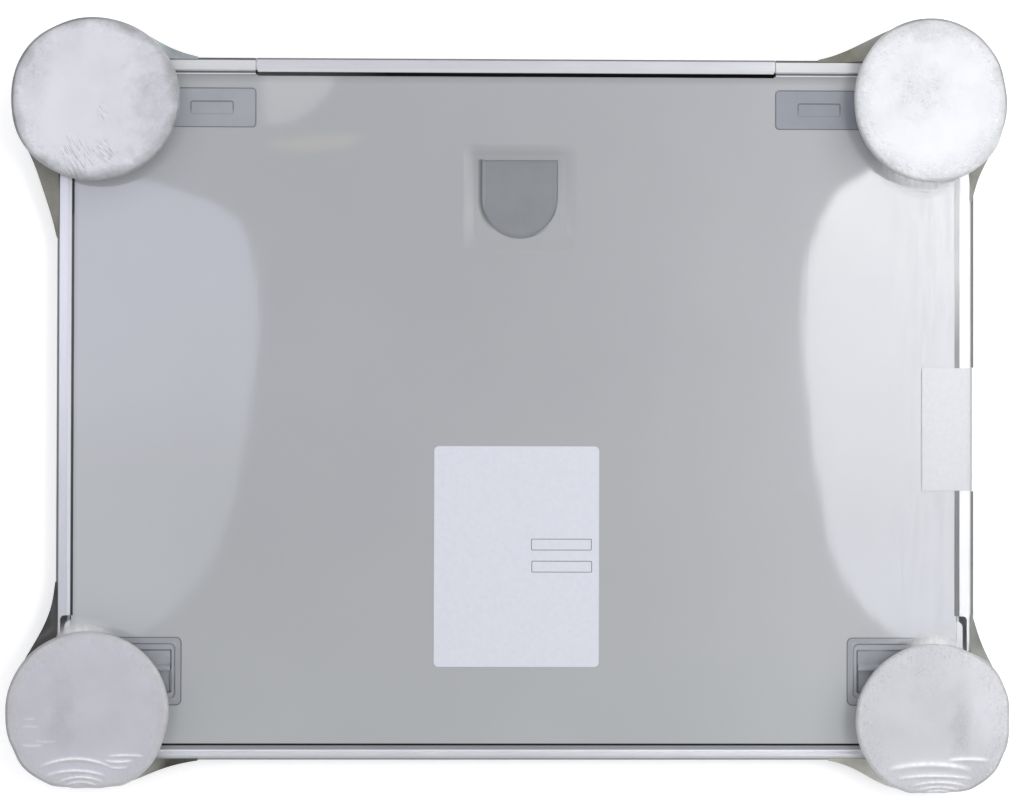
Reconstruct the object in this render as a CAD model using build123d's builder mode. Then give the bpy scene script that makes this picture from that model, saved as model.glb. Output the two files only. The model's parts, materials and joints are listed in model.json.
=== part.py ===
from build123d import *
from math import sqrt
import os

os.makedirs("parts", exist_ok=True)

# X-ray film cassette in two hinged halves, lying on its front (tube) side with its back up.
# Origin: centre of the front face. +X to the right as seen from the back, +Y towards the
# hinge, -Y towards the latches, +Z out of the back. All sizes are in millimetres.

# ---- Film and outer case ----
film_length = 400.0  # along X
film_width = 300.0  # along Y
border = 14.0  # from the film's edge to the outer face
thickness = 15.0  # front face to back face
film_play = 0.5  # film's edge to the wall of the well
film_gap = 0.4  # room for the film between the two screens

# ---- Front half: panel, rails and corners ----
front_skin = 1.8  # thickness of the front panel
front_panel_play = 0.2  # front panel to the rails
foot_thickness = 1.2  # rail foot that the front panel is bonded under
rail_width = 5.8  # visible band of the side and hinge rails
latch_rail_width = 6.8  # rail on the latch side, bead and ledge
rail_wall = 1.2  # wall of the hollow extrusions
floor_web = 1.0  # web under the cavity, above the foot's level
bead_width = 4.4  # round bead of the latch rail
ledge_drop = 1.4  # ledge of the latch rail, below the back face
inner_rim_wall = 1.2  # upstanding light-trap rim round the well
inner_rim_height = 3.5  # above the foot
edge_round = 1.2  # outer edge of the rails, back side
foot_round = 1.0  # outer edge of the rails, front side
corner_radius = 7.0  # corner of the case, in plan
corner_leg = 24.0  # length of a corner block's legs
block_bevel_share = 0.8  # of the hinge's inset; the bevel keeps a block inside the discs' swing
inner_corner_radius = 1.5  # inside corner of a corner block
tongue_length = 8.0  # tongue of a corner block in a rail's cavity, short of the finger relief
tongue_play = 0.1
seal_height = 2.2  # felt ring in the channel
seal_play = 0.6  # felt ring to the walls of the channel
seal_gap = 0.3  # felt ring to the lid's rim

# ---- Finger reliefs in the side rails, and the lid's tabs in them ----
relief_from_latch_face = 67.4  # latch-side face to the relief's upper end
relief_length = 34.0
relief_depth = 3.6  # into the rail's band, from its inner edge
relief_floor = 8.0  # level of the relief's floor
relief_radius = 2.0
tab_reach = 3.1  # tab past the lid panel's edge
tab_end_gap = 2.3  # relief's upper end to the tab
tab_length = 30.0
tab_thickness = 2.2
tab_drop = 0.3  # tab's top below the back face
tab_radius = 3.0
tab_edge_gap = 0.2  # panel's edge to the raised part of the tab

# ---- Hinges ----
hinge_inset = 3.0  # hinge axis from the back face and from the hinge-side face
hinge_reach = 92.5  # side face to the inner end of the hinge's cut-out
hinge_swing_gap = 0.3
end_knuckle_length = 20.0  # knuckle on the rail, at the rail's end
knuckle_gap = 0.3
barrel_play = 0.2  # barrel's round below the back face
pin_radius = 1.0
pin_play = 0.05  # pin in the lid's barrel
pin_seat = 0.02  # pin in the rail's knuckle and block
hinge_block_length = 14.0
hinge_block_play = 0.05
pin_bite = 12.0  # length of pin inside the block
leaf_thickness = 1.4
leaf_play = 0.2  # leaf in its notch of the lid's frame
leaf_groove = 0.4  # groove between the barrel's band and the leaf's lip
leaf_groove_depth = 1.0
leaf_lip_drop = 0.4  # lip below the back face
leaf_inner_margin = 2.0  # leaf past the cover plate, away from the hinge
cover_length = 41.0
cover_width = 18.3
cover_from_side = 71.9  # side face to the cover's centre
cover_from_hinge_face = 23.5  # hinge-side face to the cover's centre
cover_radius = 1.8
cover_play = 0.15
imprint_length = 19.7
imprint_width = 5.9
imprint_depth = 0.3
imprint_radius = 1.0
screw_head_radius = 2.2
screw_head_depth = 1.1
screw_shank_radius = 1.1
screw_pitch = 24.0
screw_bite = 1.8  # screw in the hinge seat
screw_play = 0.05

# ---- Back half: panel, frame and the layers behind the film ----
panel_sheet = 1.0  # thickness of the back panel
side_gap = 1.5  # panel to the side rails
hinge_gap = 2.2  # panel to the hinge rail
latch_gap = 0.7  # panel to the latch rail
panel_radius = 4.0
rim_inset = 1.1  # lid's rim inside the panel's edge
rim_wall = 2.0
flange_width = 6.0  # frame's flange under the panel, inside the rim
flange_thickness = 2.0
screen_thickness = 1.0
screen_play = 0.2  # screens and pad inside the film's outline
foam_thickness = 4.8
foil_thickness = 0.2
plate_thickness = 1.0
plate_play = 0.2
catch_length = 14.0  # catches of the frame that hold the inner plate
catch_reach = 1.4
catch_height = 1.0
catch_count_x = 4
catch_count_y = 3
seat_gap = 0.2  # seats and beds of the frame above the inner plate

# ---- Identification window and its shutter ----
window_offset = 1.9  # window's centre, right of the case's centre
window_from_hinge_face = 47.5  # hinge-side face to the window's straight edge
window_width = 35.4
window_straight = 18.2  # straight sides, above the half-round end
dish_margin_side = 8.75  # dished area round the window
dish_margin_top = 7.3
dish_margin_bottom = 6.0
dish_bevel = 4.7
dish_depth = 0.6
dish_radius = 4.0
port_margin = 0.3  # port through the inner layers, past the window
shutter_lap = 2.0  # shutter past the window on each side
shutter_thickness = 1.0
shutter_gap = 0.2  # shutter under the dished panel
shutter_play = 0.25  # shutter in its guide
shutter_rest_gap = 0.1  # shutter above the guide's lips
shutter_travel = 38.0
guide_wall = 2.5
guide_top_gap = 0.05

# ---- Latches ----
latch_from_side = 37.5  # side face to the latch's centre
latch_from_latch_face = 41.5  # latch-side face to the latch's centre
bezel_length = 42.0
bezel_width = 31.5
bezel_radius = 2.5
bezel_play = 0.2
bezel_flange = 2.6  # flange under the panel, past the bezel
bezel_flange_thickness = 0.8
bezel_depth = 2.4
bezel_ring = 2.6  # flat ring round the dished middle
bezel_bevel = 0.8
bezel_dish = 0.7
opening_length = 32.4
opening_width = 19.5
latch_travel = 5.5
slider_gap = 0.1  # slider under the bezel
slider_thickness = 1.0
slider_cover = 0.6  # slider past the opening's edge at either end of its travel
slider_wing = 1.6  # slider past the opening's sides
slider_pocket_play = 0.3
thumb_play = 0.3  # thumb piece inside the opening
thumb_length = 8.9  # thumb piece along Y
thumb_rise = 1.7  # thumb piece above the slider's plate, at its far end
thumb_dip = 0.9  # above the plate, at the foot of the ridge
ridge_width = 1.6
ridge_rise = 2.4
ridge_slope = 1.0
side_slot = 0.9  # gap beside the slider's lower part
slot_lead = 3.4  # latch's centre to the upper end of the side gaps
runner_width = 1.6
bolt_width = 14.0
bolt_thickness = 1.0
bolt_tail = 2.0  # bolt behind the latch's centre line
bolt_tip_inset = 0.3  # bolt's tip inside the panel's edge, drawn back
bolt_play = 0.3
lug_length = 9.0  # slider's lug in the bolt, along X
lug_width = 3.0
lug_play = 0.05
bed_wall = 1.5  # latch bed past the bezel's flange
keeper_thickness = 1.0
keeper_length = 20.0
keeper_margin = 2.0  # plate below the bolt's slot
keeper_play = 0.1

# ---- Foam corner discs ----
pad_thickness = 18.0
pad_clearance = 0.3  # disc above the back face
# (side, end, centre from the side face, centre from the end face, radius)
pad_layout = {
    "corner_pad_top_left": (-1, 1, 21.2, 21.3, 38.0),
    "corner_pad_top_right": (1, 1, 22.9, 21.3, 37.4),
    "corner_pad_bottom_left": (-1, -1, 17.4, 25.4, 37.4),
    "corner_pad_bottom_right": (1, -1, 21.3, 21.8, 36.6),
}

# ---- Levels and edges that follow from the sizes above ----
half_x = film_length / 2 + border
half_y = film_width / 2 + border
well_inset = border - film_play
well_half_x = half_x - well_inset
well_half_y = half_y - well_inset
channel_floor = front_skin + foot_thickness
cavity_floor = channel_floor + floor_web
inner_rim_top = channel_floor + inner_rim_height
ledge_level = thickness - ledge_drop
rail_end_x = half_x - corner_leg
rail_end_y = half_y - corner_leg

hinge_y = half_y - hinge_inset
hinge_z = thickness - hinge_inset
hinge_start = half_x - hinge_reach
hinge_cut = hinge_z - hinge_inset * sqrt(2) - hinge_swing_gap
block_bevel = hinge_inset * block_bevel_share
end_knuckle_start = rail_end_x - end_knuckle_length
barrel_near = hinge_start + knuckle_gap
barrel_far = end_knuckle_start - knuckle_gap
barrel_radius = hinge_inset - barrel_play

panel_under = thickness - panel_sheet
panel_half_x = half_x - rail_width - side_gap
panel_top = half_y - rail_width - hinge_gap
panel_bottom = latch_rail_width + latch_gap - half_y
rim_half_x = panel_half_x - rim_inset
rim_top = panel_top - rim_inset
rim_bottom = panel_bottom + rim_inset
rim_level = channel_floor + seal_height + seal_gap
flange_under = panel_under - flange_thickness

front_screen_top = front_skin + screen_thickness
back_screen_under = front_screen_top + film_gap
foam_under = back_screen_under + screen_thickness
foil_under = foam_under + foam_thickness
plate_under = foil_under + foil_thickness
plate_top = plate_under + plate_thickness
seat_under = plate_top + seat_gap

cover_x = half_x - cover_from_side
cover_y = half_y - cover_from_hinge_face
leaf_under = panel_under - leaf_thickness
leaf_end = cover_y - cover_width / 2 - leaf_inner_margin
band_edge = half_y - rail_width

window_top = half_y - window_from_hinge_face
window_arc_y = window_top - window_straight
window_bottom = window_arc_y - window_width / 2
dish_under = panel_under - dish_depth
shutter_top = dish_under - shutter_gap
shutter_under = shutter_top - shutter_thickness

latch_x = half_x - latch_from_side
latch_y = latch_from_latch_face - half_y
bezel_under = thickness - bezel_depth
bezel_flange_under = panel_under - bezel_flange_thickness
slider_top = bezel_under - slider_gap
slider_under = slider_top - slider_thickness
slider_back = opening_width / 2 + latch_travel + slider_cover
slider_front = opening_width / 2 + slider_cover
bolt_under = slider_under - bolt_thickness
bolt_tip = panel_bottom + bolt_tip_inset
keeper_under = bolt_under - bolt_play - keeper_margin


def slab(span_x, span_y, span_z, radius=0.0, mode=Mode.ADD):
    """Block of the active part between two values along each axis, round-cornered in plan."""
    length = span_x[1] - span_x[0]
    width = span_y[1] - span_y[0]
    centre = ((span_x[0] + span_x[1]) / 2, (span_y[0] + span_y[1]) / 2)
    with BuildSketch(Plane.XY.offset(span_z[0])) as plan:
        with Locations(centre):
            if radius > 0:
                RectangleRounded(length, width, radius)
            else:
                Rectangle(length, width)
    extrude(plan.sketch, amount=span_z[1] - span_z[0], mode=mode)


def about(centre, size):
    """Span of a size about its centre."""
    return (centre - size / 2, centre + size / 2)


def on_side(side, near, far):
    """Span between two distances from the middle, on the left (-1) or the right (1)."""
    return (near, far) if side > 0 else (-far, -near)


def save(builder, name):
    """Label a finished piece and write it."""
    builder.part.label = name
    export_step(builder.part, f"parts/{name}.step")


def section_plane(edge_point, inward):
    """Plane across a rail at its outer face: local X runs inwards, local Y runs up."""
    return Plane(origin=edge_point, x_dir=inward, z_dir=Vector(*inward).cross(Vector(0, 0, 1)))


# ---------------------------------------------------------------- front half


def front_panel_piece():
    """Flat sheet on the tube side, bonded under the rails' feet."""
    with BuildPart() as panel:
        slab(
            (rail_width + front_panel_play - half_x, half_x - rail_width - front_panel_play),
            (latch_rail_width + front_panel_play - half_y, half_y - rail_width - front_panel_play),
            (0, front_skin),
            inner_corner_radius,
        )
    return panel


def rail_section(plane):
    """Hollow section of a side or hinge rail with its foot and light-trap rim."""
    corner = (Align.MIN, Align.MIN)
    with BuildSketch(plane) as section:
        Rectangle(rail_width, thickness, align=corner)
        outer = section.vertices().group_by(Axis.X)[0]
        fillet(outer.sort_by(Axis.Y)[-1], edge_round)
        outer = section.vertices().group_by(Axis.X)[0]
        fillet(outer.sort_by(Axis.Y)[0], foot_round)
        with Locations((rail_width, front_skin)):
            Rectangle(well_inset - rail_width, foot_thickness, align=corner)
        with Locations((well_inset - inner_rim_wall, front_skin)):
            Rectangle(inner_rim_wall, inner_rim_top - front_skin, align=corner)
        with Locations((rail_wall, cavity_floor)):
            Rectangle(
                rail_width - 2 * rail_wall,
                thickness - rail_wall - cavity_floor,
                align=corner,
                mode=Mode.SUBTRACT,
            )
    return section


def latch_rail_section(plane):
    """Section of the latch rail: round bead outside, lower ledge inside."""
    corner = (Align.MIN, Align.MIN)
    bead_radius = bead_width / 2
    with BuildSketch(plane) as section:
        Rectangle(bead_width, thickness - bead_radius, align=corner)
        outer = section.vertices().group_by(Axis.X)[0]
        fillet(outer.sort_by(Axis.Y)[0], foot_round)
        with Locations((bead_radius, thickness - bead_radius)):
            Circle(bead_radius)
        with Locations((bead_radius, 0)):
            Rectangle(latch_rail_width - bead_radius, ledge_level, align=corner)
        with Locations((latch_rail_width, front_skin)):
            Rectangle(well_inset - latch_rail_width, foot_thickness, align=corner)
        with Locations((well_inset - inner_rim_wall, front_skin)):
            Rectangle(inner_rim_wall, inner_rim_top - front_skin, align=corner)
        with Locations((rail_wall, cavity_floor)):
            Rectangle(
                latch_rail_width - 2 * rail_wall,
                ledge_level - rail_wall - cavity_floor,
                align=corner,
                mode=Mode.SUBTRACT,
            )
    return section


def side_rail_piece(side):
    """Side rail with the finger relief for the lid's tab."""
    section = rail_section(section_plane((side * half_x, 0, 0), (-side, 0, 0)))
    relief_top = relief_from_latch_face - half_y
    with BuildPart() as rail:
        extrude(section.sketch, amount=rail_end_y, both=True)
        slab(
            on_side(side, half_x - rail_width - relief_depth, half_x - rail_width + relief_depth),
            (relief_top - relief_length, relief_top),
            (relief_floor, thickness),
            relief_radius,
            Mode.SUBTRACT,
        )
    return rail


def hinge_rail_piece():
    """Hinge rail, cut away at both ends for the lid's leaves, with a knuckle at each end."""
    section = rail_section(section_plane((0, half_y, 0), (0, -1, 0)))
    with BuildPart() as rail:
        extrude(section.sketch, amount=rail_end_x, both=True)
        for side in (-1, 1):
            slab(
                on_side(side, hinge_start, rail_end_x),
                (band_edge, half_y),
                (hinge_cut, thickness),
                mode=Mode.SUBTRACT,
            )
            span = on_side(side, end_knuckle_start, rail_end_x)
            with BuildSketch(Plane.YZ.offset(span[0])):
                with Locations((hinge_y, hinge_z)):
                    Circle(barrel_radius)
                with Locations((band_edge, hinge_cut)):
                    Rectangle(
                        hinge_y + barrel_radius - band_edge,
                        hinge_z - hinge_cut,
                        align=(Align.MIN, Align.MIN),
                    )
                with Locations((hinge_y, hinge_z)):
                    Circle(pin_radius + pin_seat, mode=Mode.SUBTRACT)
            extrude(amount=end_knuckle_length)
    return rail


def latch_rail_piece():
    """Latch rail with a slot in its inner wall for each bolt."""
    section = latch_rail_section(section_plane((0, -half_y, 0), (0, 1, 0)))
    with BuildPart() as rail:
        extrude(section.sketch, amount=rail_end_x, both=True)
        for side in (-1, 1):
            slab(
                about(side * latch_x, bolt_width + 2 * bolt_play),
                (latch_rail_width - rail_wall - half_y, latch_rail_width - half_y),
                (bolt_under - bolt_play, slider_under + bolt_play),
                mode=Mode.SUBTRACT,
            )
    return rail


def corner_block_piece(side, end):
    """Moulded corner: two walls round a corner, the foot and rim, and a tongue each way."""
    end_rail_width = rail_width if end > 0 else latch_rail_width
    outer_corner = (side * half_x, end * half_y)
    opening_span_y = (latch_rail_width - half_y, half_y - rail_width)
    opening_size = (2 * (half_x - rail_width), opening_span_y[1] - opening_span_y[0])
    opening_centre = (0, (opening_span_y[0] + opening_span_y[1]) / 2)
    with BuildPart() as block:
        with BuildSketch():
            RectangleRounded(2 * half_x, 2 * half_y, corner_radius)
            with Locations(opening_centre):
                RectangleRounded(*opening_size, inner_corner_radius, mode=Mode.SUBTRACT)
            with Locations(outer_corner):
                Rectangle(2 * corner_leg, 2 * corner_leg, mode=Mode.INTERSECT)
        extrude(amount=thickness)
        with BuildSketch(Plane.XY.offset(front_skin)):
            Rectangle(
                2 * (half_x - rail_width + rail_wall),
                2 * (half_y - end_rail_width + rail_wall),
            )
            Rectangle(2 * well_half_x, 2 * well_half_y, mode=Mode.SUBTRACT)
            with Locations(outer_corner):
                Rectangle(2 * corner_leg, 2 * corner_leg, mode=Mode.INTERSECT)
        extrude(amount=foot_thickness)
        with BuildSketch(Plane.XY.offset(front_skin)):
            Rectangle(2 * (well_half_x + inner_rim_wall), 2 * (well_half_y + inner_rim_wall))
            Rectangle(2 * well_half_x, 2 * well_half_y, mode=Mode.SUBTRACT)
            with Locations(outer_corner):
                Rectangle(2 * corner_leg, 2 * corner_leg, mode=Mode.INTERSECT)
        extrude(amount=inner_rim_top - front_skin)
        top_ring = block.edges().filter_by(lambda edge: edge.center().Z > thickness - tongue_play)
        chamfer(outer_edges(top_ring, side, end), block_bevel)
        foot_ring = block.edges().filter_by(lambda edge: edge.center().Z < tongue_play)
        chamfer(outer_edges(foot_ring, side, end), foot_round)
        side_cavity = about(side * (half_x - rail_width / 2), rail_width - 2 * rail_wall - 2 * tongue_play)
        side_wall_end = rail_end_y - tongue_length
        slab(
            side_cavity,
            (side_wall_end, rail_end_y) if end > 0 else (-rail_end_y, -side_wall_end),
            (cavity_floor + tongue_play, thickness - rail_wall - tongue_play),
        )
        end_cavity = about(
            end * (half_y - end_rail_width / 2), end_rail_width - 2 * rail_wall - 2 * tongue_play
        )
        end_tongue_top = hinge_cut if end > 0 else keeper_under
        slab(
            on_side(side, rail_end_x - tongue_length, rail_end_x),
            end_cavity,
            (cavity_floor + tongue_play, end_tongue_top - tongue_play),
        )
    return block


def outer_edges(ring, side, end):
    """The edges of a corner block's ring that lie on its outer faces and outer corner."""
    corner_start_x = half_x - corner_radius / 2
    corner_start_y = half_y - corner_radius / 2

    def is_outer(edge):
        reach_x = side * edge.center().X
        reach_y = end * edge.center().Y
        on_face = reach_x > half_x - tongue_play or reach_y > half_y - tongue_play
        on_corner = reach_x > corner_start_x and reach_y > corner_start_y
        return on_face or on_corner

    return ring.filter_by(is_outer)


def hinge_block_piece(side):
    """Block inside the hinge rail's cavity that holds the pin's inner end."""
    play = hinge_block_play
    span = on_side(side, hinge_start - hinge_block_length, hinge_start)
    with BuildPart() as block:
        slab(
            span,
            (band_edge + rail_wall + play, half_y - rail_wall - play),
            (cavity_floor + play, thickness - rail_wall - play),
        )
        with BuildSketch(Plane.YZ.offset(span[0])):
            with Locations((hinge_y, hinge_z)):
                Circle(pin_radius + pin_seat)
        extrude(amount=hinge_block_length, mode=Mode.SUBTRACT)
    return block


def hinge_pin_piece(side):
    """Hinge pin through block, barrel and end knuckle."""
    span = on_side(side, hinge_start - pin_bite, rail_end_x)
    with BuildPart() as pin:
        with BuildSketch(Plane.YZ.offset(span[0])):
            with Locations((hinge_y, hinge_z)):
                Circle(pin_radius)
        extrude(amount=span[1] - span[0])
    return pin


def front_screen_piece():
    """Front intensifying screen, bonded to the front panel inside the well."""
    with BuildPart() as screen:
        slab(
            about(0, film_length - 2 * screen_play),
            about(0, film_width - 2 * screen_play),
            (front_skin, front_screen_top),
        )
    return screen


def light_seal_piece():
    """Felt ring on the floor of the channel that the lid's rim enters."""
    inner_x = well_half_x + inner_rim_wall + seal_play
    inner_y = well_half_y + inner_rim_wall + seal_play
    outer_x = half_x - rail_width - seal_play
    outer_top = half_y - rail_width - seal_play
    outer_bottom = latch_rail_width + seal_play - half_y
    levels = (channel_floor, channel_floor + seal_height)
    with BuildPart() as seal:
        slab((-outer_x, outer_x), (outer_bottom, outer_top), levels)
        slab((-inner_x, inner_x), (-inner_y, inner_y), levels, mode=Mode.SUBTRACT)
    return seal


def latch_keeper_piece(side):
    """Steel strike plate behind the latch rail's inner wall."""
    wall_face = latch_rail_width - rail_wall - half_y
    with BuildPart() as keeper:
        slab(
            about(side * latch_x, keeper_length),
            (wall_face - keeper_thickness, wall_face),
            (keeper_under, ledge_level - rail_wall - keeper_play),
        )
        slab(
            about(side * latch_x, bolt_width + 2 * bolt_play),
            (wall_face - keeper_thickness, wall_face),
            (bolt_under - bolt_play, slider_under + bolt_play),
            mode=Mode.SUBTRACT,
        )
    return keeper


# ---------------------------------------------------------------- back half


def window_sketch(level, margin=0.0):
    """D-shaped outline of the identification window, straight edge towards the hinge."""
    radius = window_width / 2 + margin
    top = window_top + margin
    with BuildSketch(Plane.XY.offset(level)) as outline:
        with Locations((window_offset, window_arc_y)):
            Circle(radius)
        with Locations((window_offset, window_arc_y)):
            Rectangle(2 * radius, top - window_arc_y, align=(Align.CENTER, Align.MIN))
    return outline


def dish_sketch(level, inset):
    """Rounded outline of the dished area round the window."""
    bottom = window_bottom - dish_margin_bottom + inset
    top = window_top + dish_margin_top - inset
    length = window_width + 2 * dish_margin_side - 2 * inset
    with BuildSketch(Plane.XY.offset(level)) as outline:
        with Locations((window_offset, (bottom + top) / 2)):
            RectangleRounded(length, top - bottom, dish_radius)
    return outline


def dish_solid(level, mode):
    """Bevel-sided dish sunk from a level, added to or cut from the active part."""
    upper = dish_sketch(level, 0.0)
    lower = dish_sketch(level - dish_depth, dish_bevel)
    loft([upper.sketch.faces()[0], lower.sketch.faces()[0]], mode=mode)


def back_panel_piece():
    """Outer sheet of the lid: dished round the window, open for covers, bezels and window."""
    with BuildPart() as panel:
        slab((-panel_half_x, panel_half_x), (panel_bottom, panel_top), (panel_under, thickness), panel_radius)
        dish_solid(panel_under, Mode.ADD)
        dish_solid(thickness, Mode.SUBTRACT)
        opening = window_sketch(dish_under)
        extrude(opening.sketch, amount=thickness - dish_under, mode=Mode.SUBTRACT)
        for side in (-1, 1):
            slab(
                about(side * cover_x, cover_length + 2 * cover_play),
                about(cover_y, cover_width + 2 * cover_play),
                (panel_under, thickness),
                cover_radius + cover_play,
                Mode.SUBTRACT,
            )
            slab(
                about(side * latch_x, bezel_length + 2 * bezel_play),
                about(latch_y, bezel_width + 2 * bezel_play),
                (panel_under, thickness),
                bezel_radius + bezel_play,
                Mode.SUBTRACT,
            )
    return panel


def frame_ring(inset, levels, radius=0.0, mode=Mode.ADD):
    """Block over the lid frame's outline, inset on every side."""
    slab(
        (inset - rim_half_x, rim_half_x - inset),
        (rim_bottom + inset, rim_top - inset),
        levels,
        radius,
        mode,
    )


def lid_frame_piece():
    """Moulded frame of the lid: rim, flange, catches, hinge seats, latch beds and finger tabs."""
    flange_levels = (flange_under, panel_under)
    with BuildPart() as frame:
        frame_ring(0, (rim_level, panel_under), panel_radius - rim_inset)
        frame_ring(rim_wall, (rim_level, flange_under), mode=Mode.SUBTRACT)
        frame_ring(rim_wall + flange_width, flange_levels, mode=Mode.SUBTRACT)
        plate_catches()
        for side in (-1, 1):
            hinge_seat(side)
            latch_bed(side)
            finger_tab(side)
    return frame


def plate_catches():
    """Short catches on the rim's inner face, under the inner plate."""
    levels = (plate_under - catch_height, plate_under)
    inner_x = rim_half_x - rim_wall
    inner_top = rim_top - rim_wall
    inner_bottom = rim_bottom + rim_wall
    pitch_x = 2 * inner_x / catch_count_x
    pitch_y = (inner_top - inner_bottom) / catch_count_y
    for index in range(catch_count_x):
        place_x = (index + 0.5) * pitch_x - inner_x
        slab(about(place_x, catch_length), (inner_top - catch_reach, inner_top), levels)
        slab(about(place_x, catch_length), (inner_bottom, inner_bottom + catch_reach), levels)
    for index in range(catch_count_y):
        place_y = inner_bottom + (index + 0.5) * pitch_y
        slab((inner_x - catch_reach, inner_x), about(place_y, catch_length), levels)
        slab((-inner_x, catch_reach - inner_x), about(place_y, catch_length), levels)


def hinge_seat(side):
    """Seat under a hinge leaf: a thick boss, the notch for the leaf and the screw holes."""
    seat_span = on_side(side, barrel_near - leaf_inner_margin, barrel_far + leaf_inner_margin)
    slab(seat_span, (leaf_end - leaf_inner_margin, rim_top - rim_wall), (seat_under, panel_under))
    notch = on_side(side, barrel_near - leaf_play, barrel_far + leaf_play)
    slab(notch, (leaf_end - leaf_play, rim_top), (leaf_under, panel_under), mode=Mode.SUBTRACT)
    with Locations(*screw_places(side, seat_under)):
        Cylinder(
            screw_shank_radius,
            leaf_under - seat_under,
            align=(Align.CENTER, Align.CENTER, Align.MIN),
            mode=Mode.SUBTRACT,
        )


def latch_bed(side):
    """Bed under a latch bezel: pocket for the slider, channel for the bolt."""
    bed_x = bezel_length / 2 + bezel_flange + bed_wall
    bed_y = bezel_width / 2 + bezel_flange + bed_wall
    outer = rim_half_x - rim_wall
    near = min(latch_x - bed_x, outer - bed_wall)
    slab(
        on_side(side, near, outer),
        (rim_bottom + rim_wall, latch_y + bed_y),
        (seat_under, panel_under),
    )
    slab(
        about(side * latch_x, bezel_length + 2 * bezel_flange + 2 * bezel_play),
        about(latch_y, bezel_width + 2 * bezel_flange + 2 * bezel_play),
        (bezel_flange_under, panel_under),
        mode=Mode.SUBTRACT,
    )
    slab(
        about(side * latch_x, bezel_length + 2 * bezel_play),
        about(latch_y, bezel_width + 2 * bezel_play),
        (bezel_under, bezel_flange_under),
        mode=Mode.SUBTRACT,
    )
    slab(
        about(side * latch_x, opening_length + 2 * slider_wing + 2 * slider_pocket_play),
        (
            latch_y - slider_front - latch_travel - slider_pocket_play,
            latch_y + slider_back + slider_pocket_play,
        ),
        (seat_under, bezel_flange_under),
        mode=Mode.SUBTRACT,
    )
    slab(
        about(side * latch_x, bolt_width + 2 * bolt_play),
        (rim_bottom, latch_y),
        (seat_under, slider_under + bolt_play),
        mode=Mode.SUBTRACT,
    )


def finger_tab(side):
    """Tab at the lid's side that stands in the side rail's relief."""
    tab_start = relief_from_latch_face - half_y - tab_end_gap
    tab_top = thickness - tab_drop
    root = rim_half_x - rim_wall
    tab_span = (tab_start - tab_length, tab_start)
    slab(
        on_side(side, root, panel_half_x + tab_reach),
        tab_span,
        (tab_top - tab_thickness, tab_top),
        tab_radius,
    )
    slab(
        on_side(side, root, panel_half_x + tab_edge_gap),
        tab_span,
        (panel_under, thickness),
        mode=Mode.SUBTRACT,
    )


def inner_layer_piece(half_length, low_y, high_y, levels):
    """Flat layer behind the film with the port of the identification window."""
    with BuildPart() as layer:
        slab((-half_length, half_length), (low_y, high_y), levels)
        slab(
            about(window_offset, window_width + 2 * port_margin),
            (window_bottom - port_margin, window_top + port_margin),
            levels,
            mode=Mode.SUBTRACT,
        )
    return layer


def hinge_leaf_piece(side):
    """Lid's hinge leaf: barrel with a flat band on its back, lip, and plate under the panel."""
    span = on_side(side, barrel_near, barrel_far)
    with BuildPart() as leaf:
        with BuildSketch(Plane.YZ.offset(span[0])) as profile:
            with Locations((hinge_y, hinge_z)):
                Circle(barrel_radius)
            with Locations((band_edge, hinge_z)):
                Rectangle(rail_width, hinge_inset, align=(Align.MIN, Align.MIN))
            outer_top = profile.vertices().group_by(Axis.X)[-1].sort_by(Axis.Y)[-1]
            fillet(outer_top, edge_round)
            with Locations((panel_top + leaf_play, leaf_under)):
                Rectangle(
                    hinge_y - panel_top - leaf_play,
                    thickness - leaf_lip_drop - leaf_under,
                    align=(Align.MIN, Align.MIN),
                )
            with Locations((leaf_end, leaf_under)):
                Rectangle(hinge_y - leaf_end, leaf_thickness, align=(Align.MIN, Align.MIN))
            with Locations((band_edge, thickness)):
                Rectangle(leaf_groove, leaf_groove_depth, align=(Align.MAX, Align.MAX), mode=Mode.SUBTRACT)
            with Locations((hinge_y, hinge_z)):
                Circle(pin_radius + pin_play, mode=Mode.SUBTRACT)
        extrude(amount=span[1] - span[0])
        screw_cut(side, leaf_under, screw_play, Mode.SUBTRACT)
    return leaf


def screw_places(side, level):
    """Centres of a leaf's two screws at a level."""
    return [(side * cover_x + step * screw_pitch / 2, cover_y, level) for step in (-1, 1)]


def screw_cut(side, tip_level, play, mode):
    """A leaf's two countersunk screws down to a level, as solids or as their holes."""
    head_level = panel_under - screw_head_depth
    with Locations(*screw_places(side, tip_level)):
        Cylinder(
            screw_shank_radius + play,
            panel_under - tip_level,
            align=(Align.CENTER, Align.CENTER, Align.MIN),
            mode=mode,
        )
    with Locations(*screw_places(side, head_level)):
        Cone(
            screw_shank_radius + play,
            screw_head_radius + play,
            screw_head_depth,
            align=(Align.CENTER, Align.CENTER, Align.MIN),
            mode=mode,
        )


def hinge_screws_piece():
    """The four alike countersunk screws of the two leaves."""
    with BuildPart() as screws:
        for side in (-1, 1):
            screw_cut(side, leaf_under - screw_bite, 0.0, Mode.ADD)
    return screws


def hinge_cover_piece(side):
    """Snap-in cover over a leaf's screws, with a shallow imprint."""
    with BuildPart() as cover:
        slab(
            about(side * cover_x, cover_length),
            about(cover_y, cover_width),
            (panel_under, thickness),
            cover_radius,
        )
        slab(
            about(side * cover_x, imprint_length),
            about(cover_y, imprint_width),
            (thickness - imprint_depth, thickness),
            imprint_radius,
            Mode.SUBTRACT,
        )
    return cover


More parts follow.
